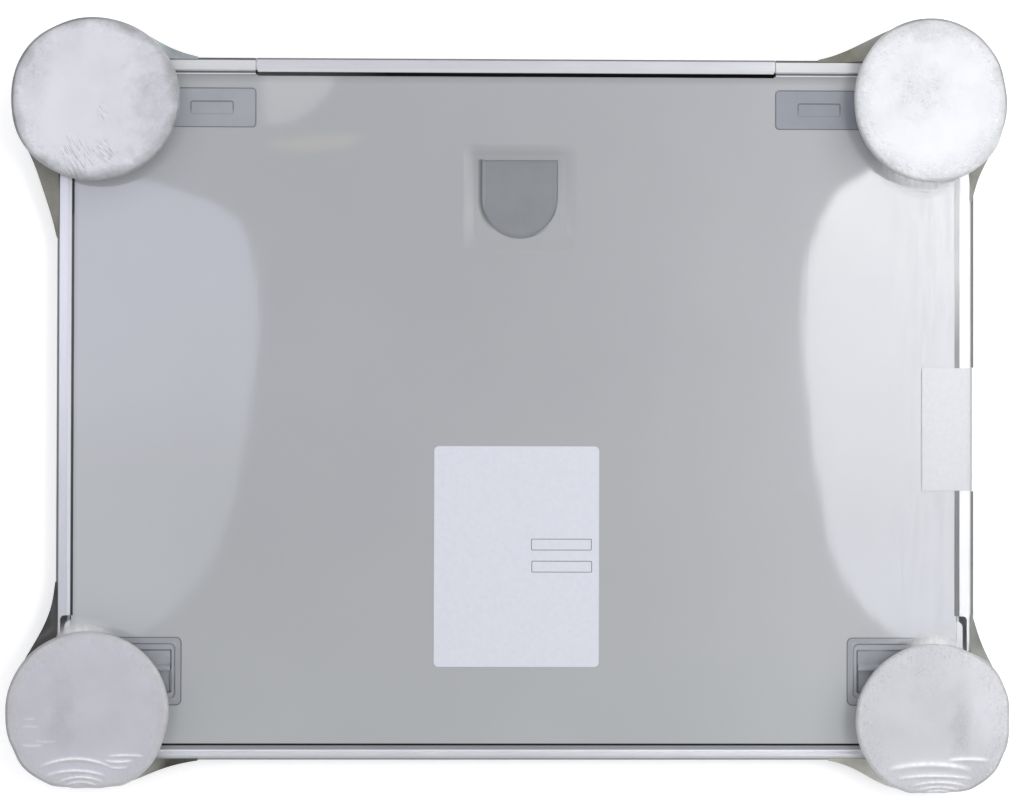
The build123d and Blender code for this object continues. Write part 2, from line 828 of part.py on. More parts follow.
def shutter_guide_piece():
    """Track of the shutter on the inner plate: side lips, walls and end stops."""
    shutter_half = window_width / 2 + shutter_lap
    track_half = shutter_half + shutter_play
    track_top = window_top + shutter_lap + shutter_play
    track_bottom = window_bottom - shutter_lap - shutter_travel - shutter_play
    lip_top = shutter_under - shutter_rest_gap
    levels = (plate_top, dish_under - guide_top_gap)
    with BuildPart() as guide:
        slab(
            (window_offset - track_half - guide_wall, window_offset + track_half + guide_wall),
            (track_bottom - guide_wall, track_top + guide_wall),
            levels,
        )
        slab(
            (window_offset - track_half, window_offset + track_half),
            (track_bottom, track_top),
            (lip_top, levels[1]),
            mode=Mode.SUBTRACT,
        )
        slab(
            about(window_offset, window_width + 2 * port_margin),
            (track_bottom + shutter_lap, window_top + port_margin),
            levels,
            mode=Mode.SUBTRACT,
        )
    return guide


def id_shutter_piece():
    """Sliding shutter plate under the window."""
    with BuildPart() as shutter:
        slab(
            about(window_offset, window_width + 2 * shutter_lap),
            (window_bottom - shutter_lap, window_top + shutter_lap),
            (shutter_under, shutter_top),
        )
    return shutter


def latch_bezel_piece(side):
    """Moulded bezel: flat ring, dished middle, opening, and a flange under the panel."""
    with BuildPart() as bezel:
        slab(
            about(side * latch_x, bezel_length),
            about(latch_y, bezel_width),
            (bezel_under, thickness),
            bezel_radius,
        )
        slab(
            about(side * latch_x, bezel_length + 2 * bezel_flange),
            about(latch_y, bezel_width + 2 * bezel_flange),
            (bezel_flange_under, panel_under),
        )
        sections = []
        for level, inset in (
            (thickness, bezel_ring),
            (thickness - bezel_dish, bezel_ring + bezel_bevel),
        ):
            with BuildSketch(Plane.XY.offset(level), mode=Mode.PRIVATE) as outline:
                with Locations((side * latch_x, latch_y)):
                    RectangleRounded(bezel_length - 2 * inset, bezel_width - 2 * inset, bezel_radius)
            sections.append(outline.sketch.faces()[0])
        loft(sections, mode=Mode.SUBTRACT)
        slab(
            about(side * latch_x, opening_length),
            about(latch_y, opening_width),
            (bezel_under, thickness),
            mode=Mode.SUBTRACT,
        )
    return bezel


def latch_slider_piece(side):
    """Latch slider: plate under the bezel, thumb piece with its ridge, runners and lug."""
    wing_half = opening_length / 2 + slider_wing
    thumb_half = opening_length / 2 - thumb_play
    thumb_back = latch_y + opening_width / 2 - thumb_play
    thumb_front = thumb_back - thumb_length
    ridge_back = thumb_front + ridge_width
    plate_levels = (slider_under, slider_top)
    with BuildPart() as slider:
        slab(
            about(side * latch_x, 2 * wing_half),
            (latch_y + slot_lead, latch_y + slider_back),
            plate_levels,
        )
        slab(
            about(side * latch_x, opening_length - 2 * side_slot),
            (latch_y - slider_front, latch_y + slot_lead),
            plate_levels,
        )
        with BuildSketch(Plane.YZ.offset(side * latch_x - thumb_half)):
            with BuildLine():
                Polyline(
                    (thumb_back, slider_top),
                    (thumb_back, slider_top + thumb_rise),
                    (ridge_back + ridge_slope, slider_top + thumb_dip),
                    (ridge_back, slider_top + ridge_rise),
                    (thumb_front, slider_top + ridge_rise),
                    (thumb_front, slider_top),
                    close=True,
                )
            make_face()
        extrude(amount=2 * thumb_half)
        for edge in (-1, 1):
            runner_x = side * latch_x + edge * (wing_half - runner_width / 2)
            slab(
                about(runner_x, runner_width),
                (latch_y + slot_lead, latch_y + slider_back),
                (bolt_under, slider_under),
            )
        lug(side, 0.0, Mode.ADD)
    return slider


def lug(side, play, mode):
    """The slider's lug through the bolt, as a solid or as its hole."""
    slab(
        about(side * latch_x, lug_length + 2 * play),
        about(latch_y - slider_front / 2, lug_width + 2 * play),
        (bolt_under, slider_under),
        mode=mode,
    )


def latch_bolt_piece(side):
    """Steel bolt on the slider's lug, its tip towards the latch rail."""
    with BuildPart() as bolt:
        slab(
            about(side * latch_x, bolt_width),
            (bolt_tip, latch_y - bolt_tail),
            (bolt_under, slider_under),
        )
        lug(side, lug_play, Mode.SUBTRACT)
    return bolt


# ---------------------------------------------------------------- foam discs


def corner_pad_piece(side, end, from_side, from_end, radius):
    """Foam disc over a corner, cut from a sheet."""
    centre = (side * (half_x - from_side), end * (half_y - from_end), thickness + pad_clearance)
    with BuildPart() as pad:
        with Locations(centre):
            Cylinder(radius, pad_thickness, align=(Align.CENTER, Align.CENTER, Align.MIN))
    return pad


# ---------------------------------------------------------------- all pieces

sides = {"left": -1, "right": 1}
ends = {"top": 1, "bottom": -1}
plate_half_x = rim_half_x - rim_wall - plate_play
plate_low = rim_bottom + rim_wall + plate_play
plate_high = rim_top - rim_wall - plate_play
pad_half_x = film_length / 2 - screen_play
pad_half_y = film_width / 2 - screen_play

save(front_panel_piece(), "front_panel")
save(hinge_rail_piece(), "top_rail")
save(latch_rail_piece(), "bottom_rail")
save(front_screen_piece(), "front_screen")
save(light_seal_piece(), "light_seal")
save(back_panel_piece(), "back_panel")
save(lid_frame_piece(), "lid_frame")
save(inner_layer_piece(plate_half_x, plate_low, plate_high, (plate_under, plate_top)), "inner_plate")
save(inner_layer_piece(pad_half_x, -pad_half_y, pad_half_y, (foil_under, plate_under)), "lead_foil")
save(inner_layer_piece(pad_half_x, -pad_half_y, pad_half_y, (foam_under, foil_under)), "pressure_pad")
save(inner_layer_piece(pad_half_x, -pad_half_y, pad_half_y, (back_screen_under, foam_under)), "back_screen")
save(hinge_screws_piece(), "hinge_screws")
save(shutter_guide_piece(), "shutter_guide")
save(id_shutter_piece(), "id_shutter")
for side_name, side in sides.items():
    save(side_rail_piece(side), f"{side_name}_rail")
    save(hinge_block_piece(side), f"hinge_block_{side_name}")
    save(hinge_pin_piece(side), f"hinge_pin_{side_name}")
    save(latch_keeper_piece(side), f"latch_keeper_{side_name}")
    save(hinge_leaf_piece(side), f"hinge_leaf_{side_name}")
    save(hinge_cover_piece(side), f"hinge_cover_{side_name}")
    save(latch_bezel_piece(side), f"latch_bezel_{side_name}")
    save(latch_slider_piece(side), f"latch_slider_{side_name}")
    save(latch_bolt_piece(side), f"latch_bolt_{side_name}")
    for end_name, end in ends.items():
        save(corner_block_piece(side, end), f"corner_block_{end_name}_{side_name}")
for pad_name, layout in pad_layout.items():
    save(corner_pad_piece(*layout), pad_name)
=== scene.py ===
import bpy
import bmesh
import json
import math
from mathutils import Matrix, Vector, noise


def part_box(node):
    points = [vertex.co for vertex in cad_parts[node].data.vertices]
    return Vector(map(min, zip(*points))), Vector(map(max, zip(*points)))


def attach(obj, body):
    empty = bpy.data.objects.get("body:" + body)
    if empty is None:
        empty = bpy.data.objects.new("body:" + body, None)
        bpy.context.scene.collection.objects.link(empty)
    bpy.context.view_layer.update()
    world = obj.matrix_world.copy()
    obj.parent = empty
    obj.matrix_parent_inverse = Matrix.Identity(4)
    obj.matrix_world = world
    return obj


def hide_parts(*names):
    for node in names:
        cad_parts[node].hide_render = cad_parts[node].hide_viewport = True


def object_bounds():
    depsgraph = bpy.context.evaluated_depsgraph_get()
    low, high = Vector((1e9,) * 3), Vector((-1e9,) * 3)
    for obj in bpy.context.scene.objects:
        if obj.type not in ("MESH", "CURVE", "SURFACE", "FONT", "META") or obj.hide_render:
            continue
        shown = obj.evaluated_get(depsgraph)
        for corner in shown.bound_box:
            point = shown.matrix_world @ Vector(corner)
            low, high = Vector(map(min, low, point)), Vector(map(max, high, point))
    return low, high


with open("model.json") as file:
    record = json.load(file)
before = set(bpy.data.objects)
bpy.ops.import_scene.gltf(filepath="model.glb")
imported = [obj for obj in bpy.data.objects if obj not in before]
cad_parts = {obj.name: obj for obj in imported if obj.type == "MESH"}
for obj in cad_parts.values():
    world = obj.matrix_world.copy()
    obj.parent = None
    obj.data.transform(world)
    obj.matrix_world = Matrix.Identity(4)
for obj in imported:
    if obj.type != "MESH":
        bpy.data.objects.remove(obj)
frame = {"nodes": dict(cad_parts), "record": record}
cad_low, cad_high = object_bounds()
nodes = frame["nodes"]

# ---- Levels and edges read from the frame, in metres ----
MM = 0.001
back_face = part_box("back_panel")[1].z
side_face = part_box("right_rail")[1].x
hinge_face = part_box("top_rail")[1].y
film_clearance = 0.35 * MM  # film and labels above the back face


def add_object(name, data):
    made = bpy.data.objects.new(name, data)
    bpy.context.scene.collection.objects.link(made)
    return made


# ---------------------------------------------------------------- camera, lamps, floor

camera_place = (-0.0236, -0.0110, 1.2140)
camera_tilt = (0.679, -1.051, 0.145)  # degrees about X, Y and Z
lens = 90.2
sensor = 36.0


def make_camera():
    """Looks almost straight down on the back face, as the photograph does."""
    data = bpy.data.cameras.new("camera")
    data.lens = lens
    data.sensor_width = sensor
    camera = add_object("camera", data)
    camera.location = camera_place
    camera.rotation_euler = [math.radians(angle) for angle in camera_tilt]
    bpy.context.scene.camera = camera


wall_colour = (0.09, 0.09, 0.085)
ceiling_colour = (1.0, 1.0, 1.0)
ceiling_shares = ((0.30, 0.08), (0.66, 0.94))  # height on the dome, and how much of the ceiling's colour
world_strength = 0.90


def make_surroundings():
    """Light from overhead more than from the walls, and white wherever it is seen or mirrored."""
    world = bpy.data.worlds.new("surroundings")
    bpy.context.scene.world = world
    world.use_nodes = True
    sky = Nodes(world.node_tree)
    stops = [(0.0, wall_colour)]
    for height, share in ceiling_shares:
        mixed = [wall + (top - wall) * share for wall, top in zip(wall_colour, ceiling_colour)]
        stops.append((height, mixed))
    light = sky.stops(sky.axis("Z", "Generated"), stops + [(1.0, ceiling_colour)])
    background = world.node_tree.nodes["Background"]
    sky.feed(background.inputs["Color"], sky.blend(light, (1, 1, 1, 1), sky.seen()))
    background.inputs["Strength"].default_value = world_strength


# Outlines in millimetres of the softboxes, as the film on the lid mirrors them to the camera
left_glare = [
    (-215, 118), (-190, 112), (-165, 104), (-150, 99.5), (-138, 95), (-131, 89), (-125, 78.5), (-121.5, 61),
    (-120, 43), (-121.5, 22), (-124, 0), (-127, -20), (-130.5, -38), (-135.5, -55), (-142, -73), (-150, -85),
    (-161, -96), (-179, -108), (-210, -122), (-267, -98), (-287, 3), (-268, 100),
]
right_glare = [
    (215, 128), (185, 121), (165, 112), (152, 103), (143.5, 91), (138.5, 79), (135.3, 66), (134.6, 44),
    (135, 21), (136.5, 5), (139, -15), (142, -35), (146, -58), (150.7, -72.6), (157, -84.5), (167, -96),
    (180, -107.7), (210, -122), (270, -98), (289, 5), (270, 113),
]
hinge_glare = [(-118, 157), (-84, 157), (-87, 148.5), (-98, 139), (-109, 133), (-118, 133)]
warm_glare = [(-117, 124), (-102, 127.5), (-75, 129), (-71, 127.5), (-78, 122), (-98, 119.5), (-113, 121)]
# Their colours from the latch side to the hinge side, at the places that mirror these Y in metres
left_glow = [
    (-0.10, (0.50, 0.545, 0.58)), (-0.03, (0.58, 0.61, 0.65)), (0.01, (0.77, 0.77, 0.93)),
    (0.08, (0.80, 0.80, 1.0)),
]
right_glow = [
    (-0.10, (0.66, 0.67, 0.74)), (-0.05, (0.69, 0.70, 0.76)), (0.0, (0.81, 0.82, 0.86)),
    (0.06, (0.98, 0.995, 1.02)), (0.085, (1.12, 1.13, 1.15)), (0.115, (1.45, 1.45, 1.45)),
]
hinge_glow = [(0.10, (0.75, 0.76, 0.78)), (0.16, (1.0, 1.0, 1.0))]
warm_glow = [(0.10, (1.0, 0.88, 0.55)), (0.16, (1.0, 0.88, 0.55))]
softbox_inside = (0.29, 0.95)  # distance from the middle in metres, and share of the strength there
softbox_outside = (0.46, 1.15)


def make_softbox(name, glare, strength, glow):
    """Softbox level with the camera, cut so that its mirror image on the lid has the given outline."""
    x, y, z = camera_place
    corners = [(2 * across * MM - x, 2 * up * MM - y, z) for across, up in glare]
    mesh = bpy.data.meshes.new(name)
    mesh.from_pydata(corners, [], [tuple(range(len(corners)))])
    cloth = Paint(name, 1.0)
    cloth.shader.inputs["Base Color"].default_value = (0, 0, 0, 1)
    mirrored = [(2 * up - y, colour) for up, colour in glow]
    cloth.socket("Emission Color", cloth.bands(cloth.axis("Y"), mirrored))
    (near, low), (far, high) = softbox_inside, softbox_outside
    outwards = cloth.absolute(cloth.axis("X"))
    cloth.socket("Emission Strength", cloth.grade(outwards, low * strength, high * strength, near, far))
    mesh.materials.append(cloth.material)
    softbox = add_object(name, mesh)
    softbox.visible_camera = False


def make_lamp(name, size, energy, place, target):
    """Round lamp aimed at a point."""
    data = bpy.data.lights.new(name, "AREA")
    data.shape = "DISK"
    data.size = size
    data.energy = energy
    lamp = add_object(name, data)
    lamp.location = place
    lamp.rotation_euler = (Vector(target) - Vector(place)).to_track_quat("-Z", "Y").to_euler()
    lamp.visible_camera = False


def make_light():
    """Softboxes round the camera that the film mirrors, and lamps from the right."""
    make_softbox("softbox_left", left_glare, 4.3, left_glow)
    make_softbox("softbox_right", right_glare, 8.0, right_glow)
    make_softbox("softbox_hinge", hinge_glare, 3.3, hinge_glow)
    make_softbox("softbox_warm", warm_glare, 2.3, warm_glow)
    make_lamp("lamp_far", 1.0, 4.5, (0.75, 1.0, 0.62), (0, 0, 0))
    make_lamp("lamp_right", 0.3, 0.3, (0.50, 0.05, 0.38), (0.15, 0, 0))


floor_size = 6.0
floor_drop = 0.2 * MM  # under the case
floor_glow = 0.34  # makes the floor white where it is seen or mirrored


def make_floor():
    """Plain white floor under the case."""
    bpy.ops.mesh.primitive_plane_add(size=floor_size, location=(0, 0, cad_low.z - floor_drop))
    floor = bpy.context.object
    floor.name = "floor"
    paint = Paint("floor_white", 0.9)
    paint.colour(paint.clouds(300 * MM, 2, (0.93, 0.93, 0.93), (0.95, 0.95, 0.95)))
    paint.shader.inputs["Emission Color"].default_value = (1, 1, 1, 1)
    paint.socket("Emission Strength", paint.times(paint.seen(), floor_glow))
    floor.data.materials.append(paint.material)


# ---------------------------------------------------------------- materials

# Outlines that the materials follow, as the pieces have them
window_middle = (1.9 * MM, 98.3 * MM)  # of the window's round end
window_radius = 17.7 * MM
window_top = 116.5 * MM
dish_left, dish_right, dish_top = -24.6 * MM, 28.4 * MM, 123.8 * MM
dish_bevel = 4.7 * MM
panel_left, panel_top, panel_foot = -206.7 * MM, 155.8 * MM, -156.3 * MM
leaf_gap = 120.8 * MM  # from the middle to the end of the gap between the hinge leaves
cover_middle = (142.1 * MM, 140.5 * MM)
cover_size = (41.0 * MM, 18.3 * MM)
cover_radius = 1.8 * MM
imprint_size = (19.7 * MM, 5.9 * MM)
imprint_radius = 1.0 * MM
latch_middle = (176.5 * MM, -122.5 * MM)
bezel_size = (42.0 * MM, 31.5 * MM)
bezel_radius = 2.5 * MM
bezel_ring = 2.6 * MM
opening_size = (32.4 * MM, 19.5 * MM)
opening_radius = 0.3 * MM
grain_size = 0.45 * MM  # of spark-eroded plastic
grain_depth = 0.02 * MM
disc_side_levels = (28.0 * MM, 30.5 * MM)  # from a disc's side face to its top
coat_sockets = ("Normal", "Coat Normal")


class Nodes:
    """Node tree whose textures run in the frame's own coordinates, in metres."""

    def __init__(self, tree):
        self.tree = tree

    def node(self, kind, **settings):
        made = self.tree.nodes.new(kind)
        for setting, value in settings.items():
            setattr(made, setting, value)
        return made

    def feed(self, target, source):
        """Links a socket to another one, or sets it to a number or colour."""
        if isinstance(source, bpy.types.NodeSocket):
            self.tree.links.new(source, target)
        else:
            target.default_value = source

    def vector(self, operation, first, second=(0, 0, 0)):
        """Node that works on a vector socket and a fixed vector."""
        made = self.node("ShaderNodeVectorMath", operation=operation)
        self.feed(made.inputs[0], first)
        made.inputs[1].default_value = second
        return made

    def coordinates(self, space="Object"):
        return self.node("ShaderNodeTexCoord").outputs[space]

    def seen(self):
        """1 where a ray comes from the camera, a mirror or clear film, and 0 where it only brings light."""
        path = self.node("ShaderNodeLightPath").outputs
        return self.most(self.most(path["Is Camera Ray"], path["Is Glossy Ray"]), path["Is Transmission Ray"])

    def texture(self, kind, size, stretch, turn):
        """Texture with details about size across, stretched along each axis and turned about Z."""
        mapping = self.node("ShaderNodeMapping", vector_type="TEXTURE")
        mapping.inputs["Rotation"].default_value = (0, 0, math.radians(turn))
        mapping.inputs["Scale"].default_value = stretch
        self.feed(mapping.inputs["Vector"], self.coordinates())
        made = self.node(kind)
        made.inputs["Scale"].default_value = 1 / size
        self.feed(made.inputs["Vector"], mapping.outputs["Vector"])
        return made

    def noise(self, size, detail=4.0, stretch=(1, 1, 1), turn=0.0, distortion=0.0):
        made = self.texture("ShaderNodeTexNoise", size, stretch, turn)
        made.inputs["Detail"].default_value = detail
        made.inputs["Distortion"].default_value = distortion
        return made.outputs["Fac"]

    def cells(self, size):
        """Distance to the nearest cell's middle, for pores and specks."""
        return self.texture("ShaderNodeTexVoronoi", size, (1, 1, 1), 0.0).outputs["Distance"]

    def attribute(self, name):
        return self.node("ShaderNodeAttribute", attribute_name=name).outputs["Fac"]

    def plain(self, colour):
        made = self.node("ShaderNodeRGB")
        made.outputs[0].default_value = (*colour, 1)
        return made.outputs[0]

    def along(self, start, end):
        """0 at the start and 1 at the end, seen from above."""
        run = Vector(end) - Vector(start)
        away = self.vector("SUBTRACT", self.coordinates(), (start[0], start[1], 0))
        share = self.vector("DOT_PRODUCT", away.outputs["Vector"], (*(run / run.length_squared), 0))
        return share.outputs["Value"]

    def reach(self, centre, wide, deep):
        """Distance from a centre seen from above, 1 on the oval of that half width and depth."""
        away = self.vector("SUBTRACT", self.coordinates(), (centre[0], centre[1], 0))
        shape = self.vector("MULTIPLY", away.outputs["Vector"], (1 / wide, 1 / deep, 0))
        return self.vector("LENGTH", shape.outputs["Vector"]).outputs["Value"]

    def patch(self, middle, half, size):
        """The same for an oval in millimetres, with its edge broken up by noise."""
        spot = self.reach([value * MM for value in middle], half[0] * MM, half[1] * MM)
        return self.plus(spot, self.grade(self.noise(size, 5), -0.4, 0.4, 0.3, 0.7))

    def axis(self, name, space="Object"):
        """One of the frame's coordinates, in metres, or of the directions in a world."""
        split = self.node("ShaderNodeSeparateXYZ")
        self.feed(split.inputs[0], self.coordinates(space))
        return split.outputs[name]

    def outside(self, centre, size, radius):
        """Distance from a rounded rectangle's edge, in metres, on both halves of the case."""
        across = self.absolute(self.minus(self.absolute(self.axis("X")), centre[0]))
        up = self.absolute(self.minus(self.axis("Y"), centre[1]))
        across = self.minus(across, size[0] / 2 - radius)
        up = self.minus(up, size[1] / 2 - radius)
        return self.minus(self.length(across, up), radius)

    def length(self, across, up):
        """Length of the positive parts of two numbers."""
        across = self.most(across, 0.0)
        up = self.most(up, 0.0)
        return self.math("SQRT", self.plus(self.times(across, across), self.times(up, up)), 0.0)

    def line(self, distance, middle, half):
        """1 where a distance is near its middle value, falling to 0 at half a width away."""
        return self.fall(self.absolute(self.minus(distance, middle)), 0.25 * half, half)

    def stops(self, factor, stops):
        """Colours at places of a factor between 0 and 1."""
        ramp = self.node("ShaderNodeValToRGB")
        elements = ramp.color_ramp.elements
        for element, (place, colour) in zip(elements, (stops[0], stops[-1])):
            element.position = place
            element.color = (*colour, 1)
        for place, colour in stops[1:-1]:
            elements.new(place).color = (*colour, 1)
        self.feed(ramp.inputs["Fac"], factor)
        return ramp.outputs["Color"]

    def bands(self, factor, stops):
        """Colours at given values of a factor."""
        low, high = stops[0][0], stops[-1][0]
        scaled = [((value - low) / (high - low), colour) for value, colour in stops]
        return self.stops(self.rise(factor, low, high), scaled)

    def ramp(self, factor, low, high, start=0.3, stop=0.7):
        """Colour from low to high as the factor goes from start to stop."""
        return self.stops(factor, [(start, low), (stop, high)])

    def clouds(self, size, detail, low, high, stretch=(1, 1, 1)):
        """Colour between low and high in soft clouds about size across."""
        return self.ramp(self.noise(size, detail, stretch), low, high)

    def grade(self, factor, low, high, start=0.0, stop=1.0):
        """Number from low to high as the factor goes from start to stop."""
        grade = self.node("ShaderNodeMapRange")
        for socket, value in zip(("From Min", "From Max", "To Min", "To Max"), (start, stop, low, high)):
            grade.inputs[socket].default_value = value
        self.feed(grade.inputs["Value"], factor)
        return grade.outputs["Result"]

    def rise(self, factor, start, stop):
        return self.grade(factor, 0.0, 1.0, start, stop)

    def fall(self, factor, start, stop):
        return self.grade(factor, 1.0, 0.0, start, stop)

    def math(self, operation, first, second):
        """Two numbers or sockets joined by an operation."""
        made = self.node("ShaderNodeMath", operation=operation)
        for socket, value in zip(made.inputs, (first, second)):
            self.feed(socket, value)
        return made.outputs["Value"]

    def plus(self, first, second):
        return self.math("ADD", first, second)

    def minus(self, first, second):
        return self.math("SUBTRACT", first, second)

    def times(self, first, second):
        return self.math("MULTIPLY", first, second)

    def most(self, first, second):
        return self.math("MAXIMUM", first, second)

    def absolute(self, value):
        return self.math("ABSOLUTE", value, 0.0)

    def blend(self, first, second, factor, mode="MIX"):
        """Two colours mixed by a factor."""
        mix = self.node("ShaderNodeMix", data_type="RGBA", blend_type=mode)
        for name, source in (("Factor", factor), ("A", first), ("B", second)):
            self.feed(mix.inputs[name], source)
        return mix.outputs["Result"]


class Paint(Nodes):
    """One node material. Its colour is built up from a first one, step by step."""

    def __init__(self, name, roughness, metallic=0.0, **sockets):
        self.material = bpy.data.materials.new(name)
        self.material.use_nodes = True
        super().__init__(self.material.node_tree)
        self.shader = self.tree.nodes["Principled BSDF"]
        self.shader.inputs["Roughness"].default_value = roughness
        self.shader.inputs["Metallic"].default_value = metallic
        for socket, value in sockets.items():
            self.shader.inputs[socket.replace("_", " ")].default_value = value

    def socket(self, name, source):
        self.feed(self.shader.inputs[name], source)

    def colour(self, source):
        """Takes a colour as the surface's, for the next steps to work on."""
        self.tone = source
        self.socket("Base Color", source)

    def lay(self, source, mask):
        """Lays another colour over the surface's own where the mask is 1."""
        self.colour(self.blend(self.tone, source, mask))

    def tint(self, source, factor=1.0):
        """Multiplies the surface's colour by another."""
        self.colour(self.blend(self.tone, source, factor, "MULTIPLY"))

    def darken(self, mask, to):
        """Multiplies the surface's colour by a number that is 1 where the mask is 0, and to where it is 1."""
        factor = self.grade(mask, 1.0, to)
        grey = self.node("ShaderNodeCombineColor")
        for socket in grey.inputs[:3]:
            self.feed(socket, factor)
        self.tint(grey.outputs["Color"])

    def rough(self, source, low, high):
        self.socket("Roughness", self.grade(source, low, high))

    def bump(self, height, depth, under=None, sockets=("Normal",)):
        """Relief of a depth in metres, over an earlier one."""
        bump = self.node("ShaderNodeBump")
        bump.inputs["Distance"].default_value = depth
        self.feed(bump.inputs["Height"], height)
        if under:
            self.feed(bump.inputs["Normal"], under)
        for socket in sockets:
            self.socket(socket, bump.outputs["Normal"])
        return bump.outputs["Normal"]

    def moulded(self, roughness):
        """Finishes a plastic with fine spark-eroded grain, rougher on its crests."""
        grain = self.noise(grain_size, 3)
        self.rough(grain, roughness - 0.06, roughness + 0.08)
        self.bump(grain, grain_depth)
        return self.material


def greys(*pairs):
    """Stops of a neutral ramp: places in millimetres and their greys."""
    return [(place * MM, (grey, grey, grey)) for place, grey in pairs]


def dimmed(colour, share):
    return [share * value for value in colour]


def enamel_paint():
    """Light grey enamel of the lid under clear film, with painted light and shade across it and painted
    shadow lines round its dish and window.
    """
    paint = Paint("back_enamel", 0.42, Coat_Weight=1.0, Coat_Roughness=0.035)
    x, y = paint.axis("X"), paint.axis("Y")
    paint.colour(paint.clouds(90 * MM, 3, (0.347, 0.354, 0.371), (0.366, 0.373, 0.390)))
    paint.tint(paint.ramp(paint.cells(6 * MM), (0.80, 0.80, 0.80), (1, 1, 1), 0.02, 0.06), 0.35)
    # a little lighter and greener towards the latches; painted light towards the right and painted shade over
    # the upper middle
    latch_side = [(-0.150, (1.05, 1.065, 1.05)), (-0.060, (1.0, 1.0, 1.0)), (0.150, (0.985, 0.985, 0.99))]
    paint.tint(paint.bands(y, latch_side))
    paint.tint(paint.bands(x, greys((50, 1), (100, 1.035), (140, 1.07))))
    paint.darken(paint.fall(paint.reach((-25 * MM, 85 * MM), 95 * MM, 65 * MM), 0.4, 1.3), 0.955)
    # painted soft shade along the edges, and painted deep shade on the edges themselves at the gaps towards
    # the hinge and the latches
    near_left = paint.fall(paint.minus(x, panel_left), 0.1 * MM, 2.8 * MM)
    near_edge = paint.most(paint.rise(y, panel_top - 4.0 * MM, panel_top - 0.5 * MM), near_left)
    paint.darken(near_edge, 0.76)
    between = paint.grade(paint.absolute(x), 1.0, 0.15, leaf_gap - 0.5 * MM, leaf_gap)
    edge = paint.times(paint.rise(y, panel_top - 0.4 * MM, panel_top), between)
    edge = paint.most(edge, paint.fall(y, panel_foot, panel_foot + 0.4 * MM))
    paint.darken(edge, 0.03)
    paint.socket("Specular IOR Level", paint.grade(edge, 0.5, 0.0))
    # painted light and shade on the dish: the far bevel and the floor below it in painted shade, the left
    # bevel in painted light
    bevel = dish_bevel
    inside = paint.minus(dish_top, y)
    from_left = paint.minus(x, dish_left)
    from_right = paint.minus(dish_right, x)
    ends = paint.times(paint.rise(from_left, 0.0, bevel), paint.rise(from_right, 0.0, 2 * bevel))
    paint.darken(paint.times(paint.line(inside, 0.5 * bevel, 0.62 * bevel), ends), 0.88)
    floor = paint.times(paint.rise(inside, 0.5 * bevel, bevel), paint.fall(inside, 8 * MM, 30 * MM))
    paint.darken(paint.times(floor, ends), 0.82)
    down_side = paint.rise(inside, 0.3 * bevel, 1.2 * bevel)
    foot = paint.rise(y, window_middle[1] - 24 * MM, window_middle[1] - 8 * MM)
    left_bevel = paint.line(from_left, 0.5 * bevel, 0.65 * bevel)
    paint.darken(paint.times(left_bevel, paint.times(down_side, foot)), 1.10)
    # painted shadow lines round the window below its top: a thin one, strongest on the left and round the
    # round end, and a wider one down its left side
    towards_left = paint.minus(window_middle[0], x)
    down = paint.minus(window_middle[1], y)
    across = paint.absolute(paint.minus(x, window_middle[0]))
    rim = paint.minus(paint.length(across, down), window_radius)
    below_top = paint.fall(y, window_top, window_top + 0.6 * MM)
    shaded = paint.rise(paint.plus(towards_left, paint.times(down, 0.7)), -6 * MM, 6 * MM)
    line = paint.times(paint.line(rim, 0.35 * MM, 0.9 * MM), below_top)
    paint.darken(paint.times(line, shaded), 0.45)
    wide = paint.times(paint.line(rim, 0.9 * MM, 1.5 * MM), paint.rise(towards_left, 12 * MM, 17 * MM))
    paint.darken(paint.times(wide, below_top), 0.50)
    # streaks of the film towards the right rail
    streaks = paint.rise(paint.noise(1.8 * MM, 5, (1, 9, 1)), 0.42, 0.68)
    streaks = paint.times(streaks, paint.grade(x, 0.10, 1.0, 155 * MM, 200 * MM))
    film = paint.grade(streaks, 1.0, 0.74)
    paint.socket("Coat Weight", paint.times(film, paint.fall(edge, 0.0, 1.0)))
    paint.bump(paint.noise(0.5 * MM, 3), 0.01 * MM)
    waves = paint.bump(paint.noise(45 * MM, 2, (1, 3, 1)), 0.08 * MM, sockets=("Coat Normal",))
    paint.bump(paint.noise(1.2 * MM, 4, (1, 14, 1)), 0.004 * MM, waves, ("Coat Normal",))
    return paint.material


def rail_paint(name, along, base, profile=None, turn=-1.15, dark=0.22, sides=None):
    """Silver satin rail under film: drawing lines along it, any bands of painted light and shade across and
    along it, and a painted dark line, for shade and dark reflection, where its edge turns away.
    """
    paint = Paint(name, 0.36, 0.1, Coat_Weight=1.0, Coat_Roughness=0.06)
    lines = paint.noise(0.35 * MM, 4, (1, 60, 1) if along == "y" else (60, 1, 1))
    paint.colour(paint.ramp(lines, dimmed(base, 0.95), base, 0.35, 0.6))
    paint.tint(paint.clouds(30 * MM, 3, (0.94, 0.94, 0.95), (1, 1, 1)))
    if profile:
        paint.tint(paint.bands(paint.axis("Y"), profile))
    if sides:
        paint.tint(paint.bands(paint.axis("X"), sides))
    sideways = paint.minus(paint.absolute(paint.axis("X")), side_face)
    endways = paint.minus(paint.absolute(paint.axis("Y")), hinge_face)
    paint.darken(paint.rise(paint.most(sideways, endways), turn * MM, (turn + 0.4) * MM), dark)
    paint.rough(lines, 0.32, 0.44)
    paint.bump(lines, 0.012 * MM)
    return paint.material


def moulded_paint(name, low, high, roughness=0.45, coat=0.0):
    """Moulded plastic with a fine spark-eroded grain."""
    paint = Paint(name, roughness, Coat_Weight=coat, Coat_Roughness=0.07)
    paint.colour(paint.clouds(12 * MM, 4, low, high))
    return paint.moulded(roughness)


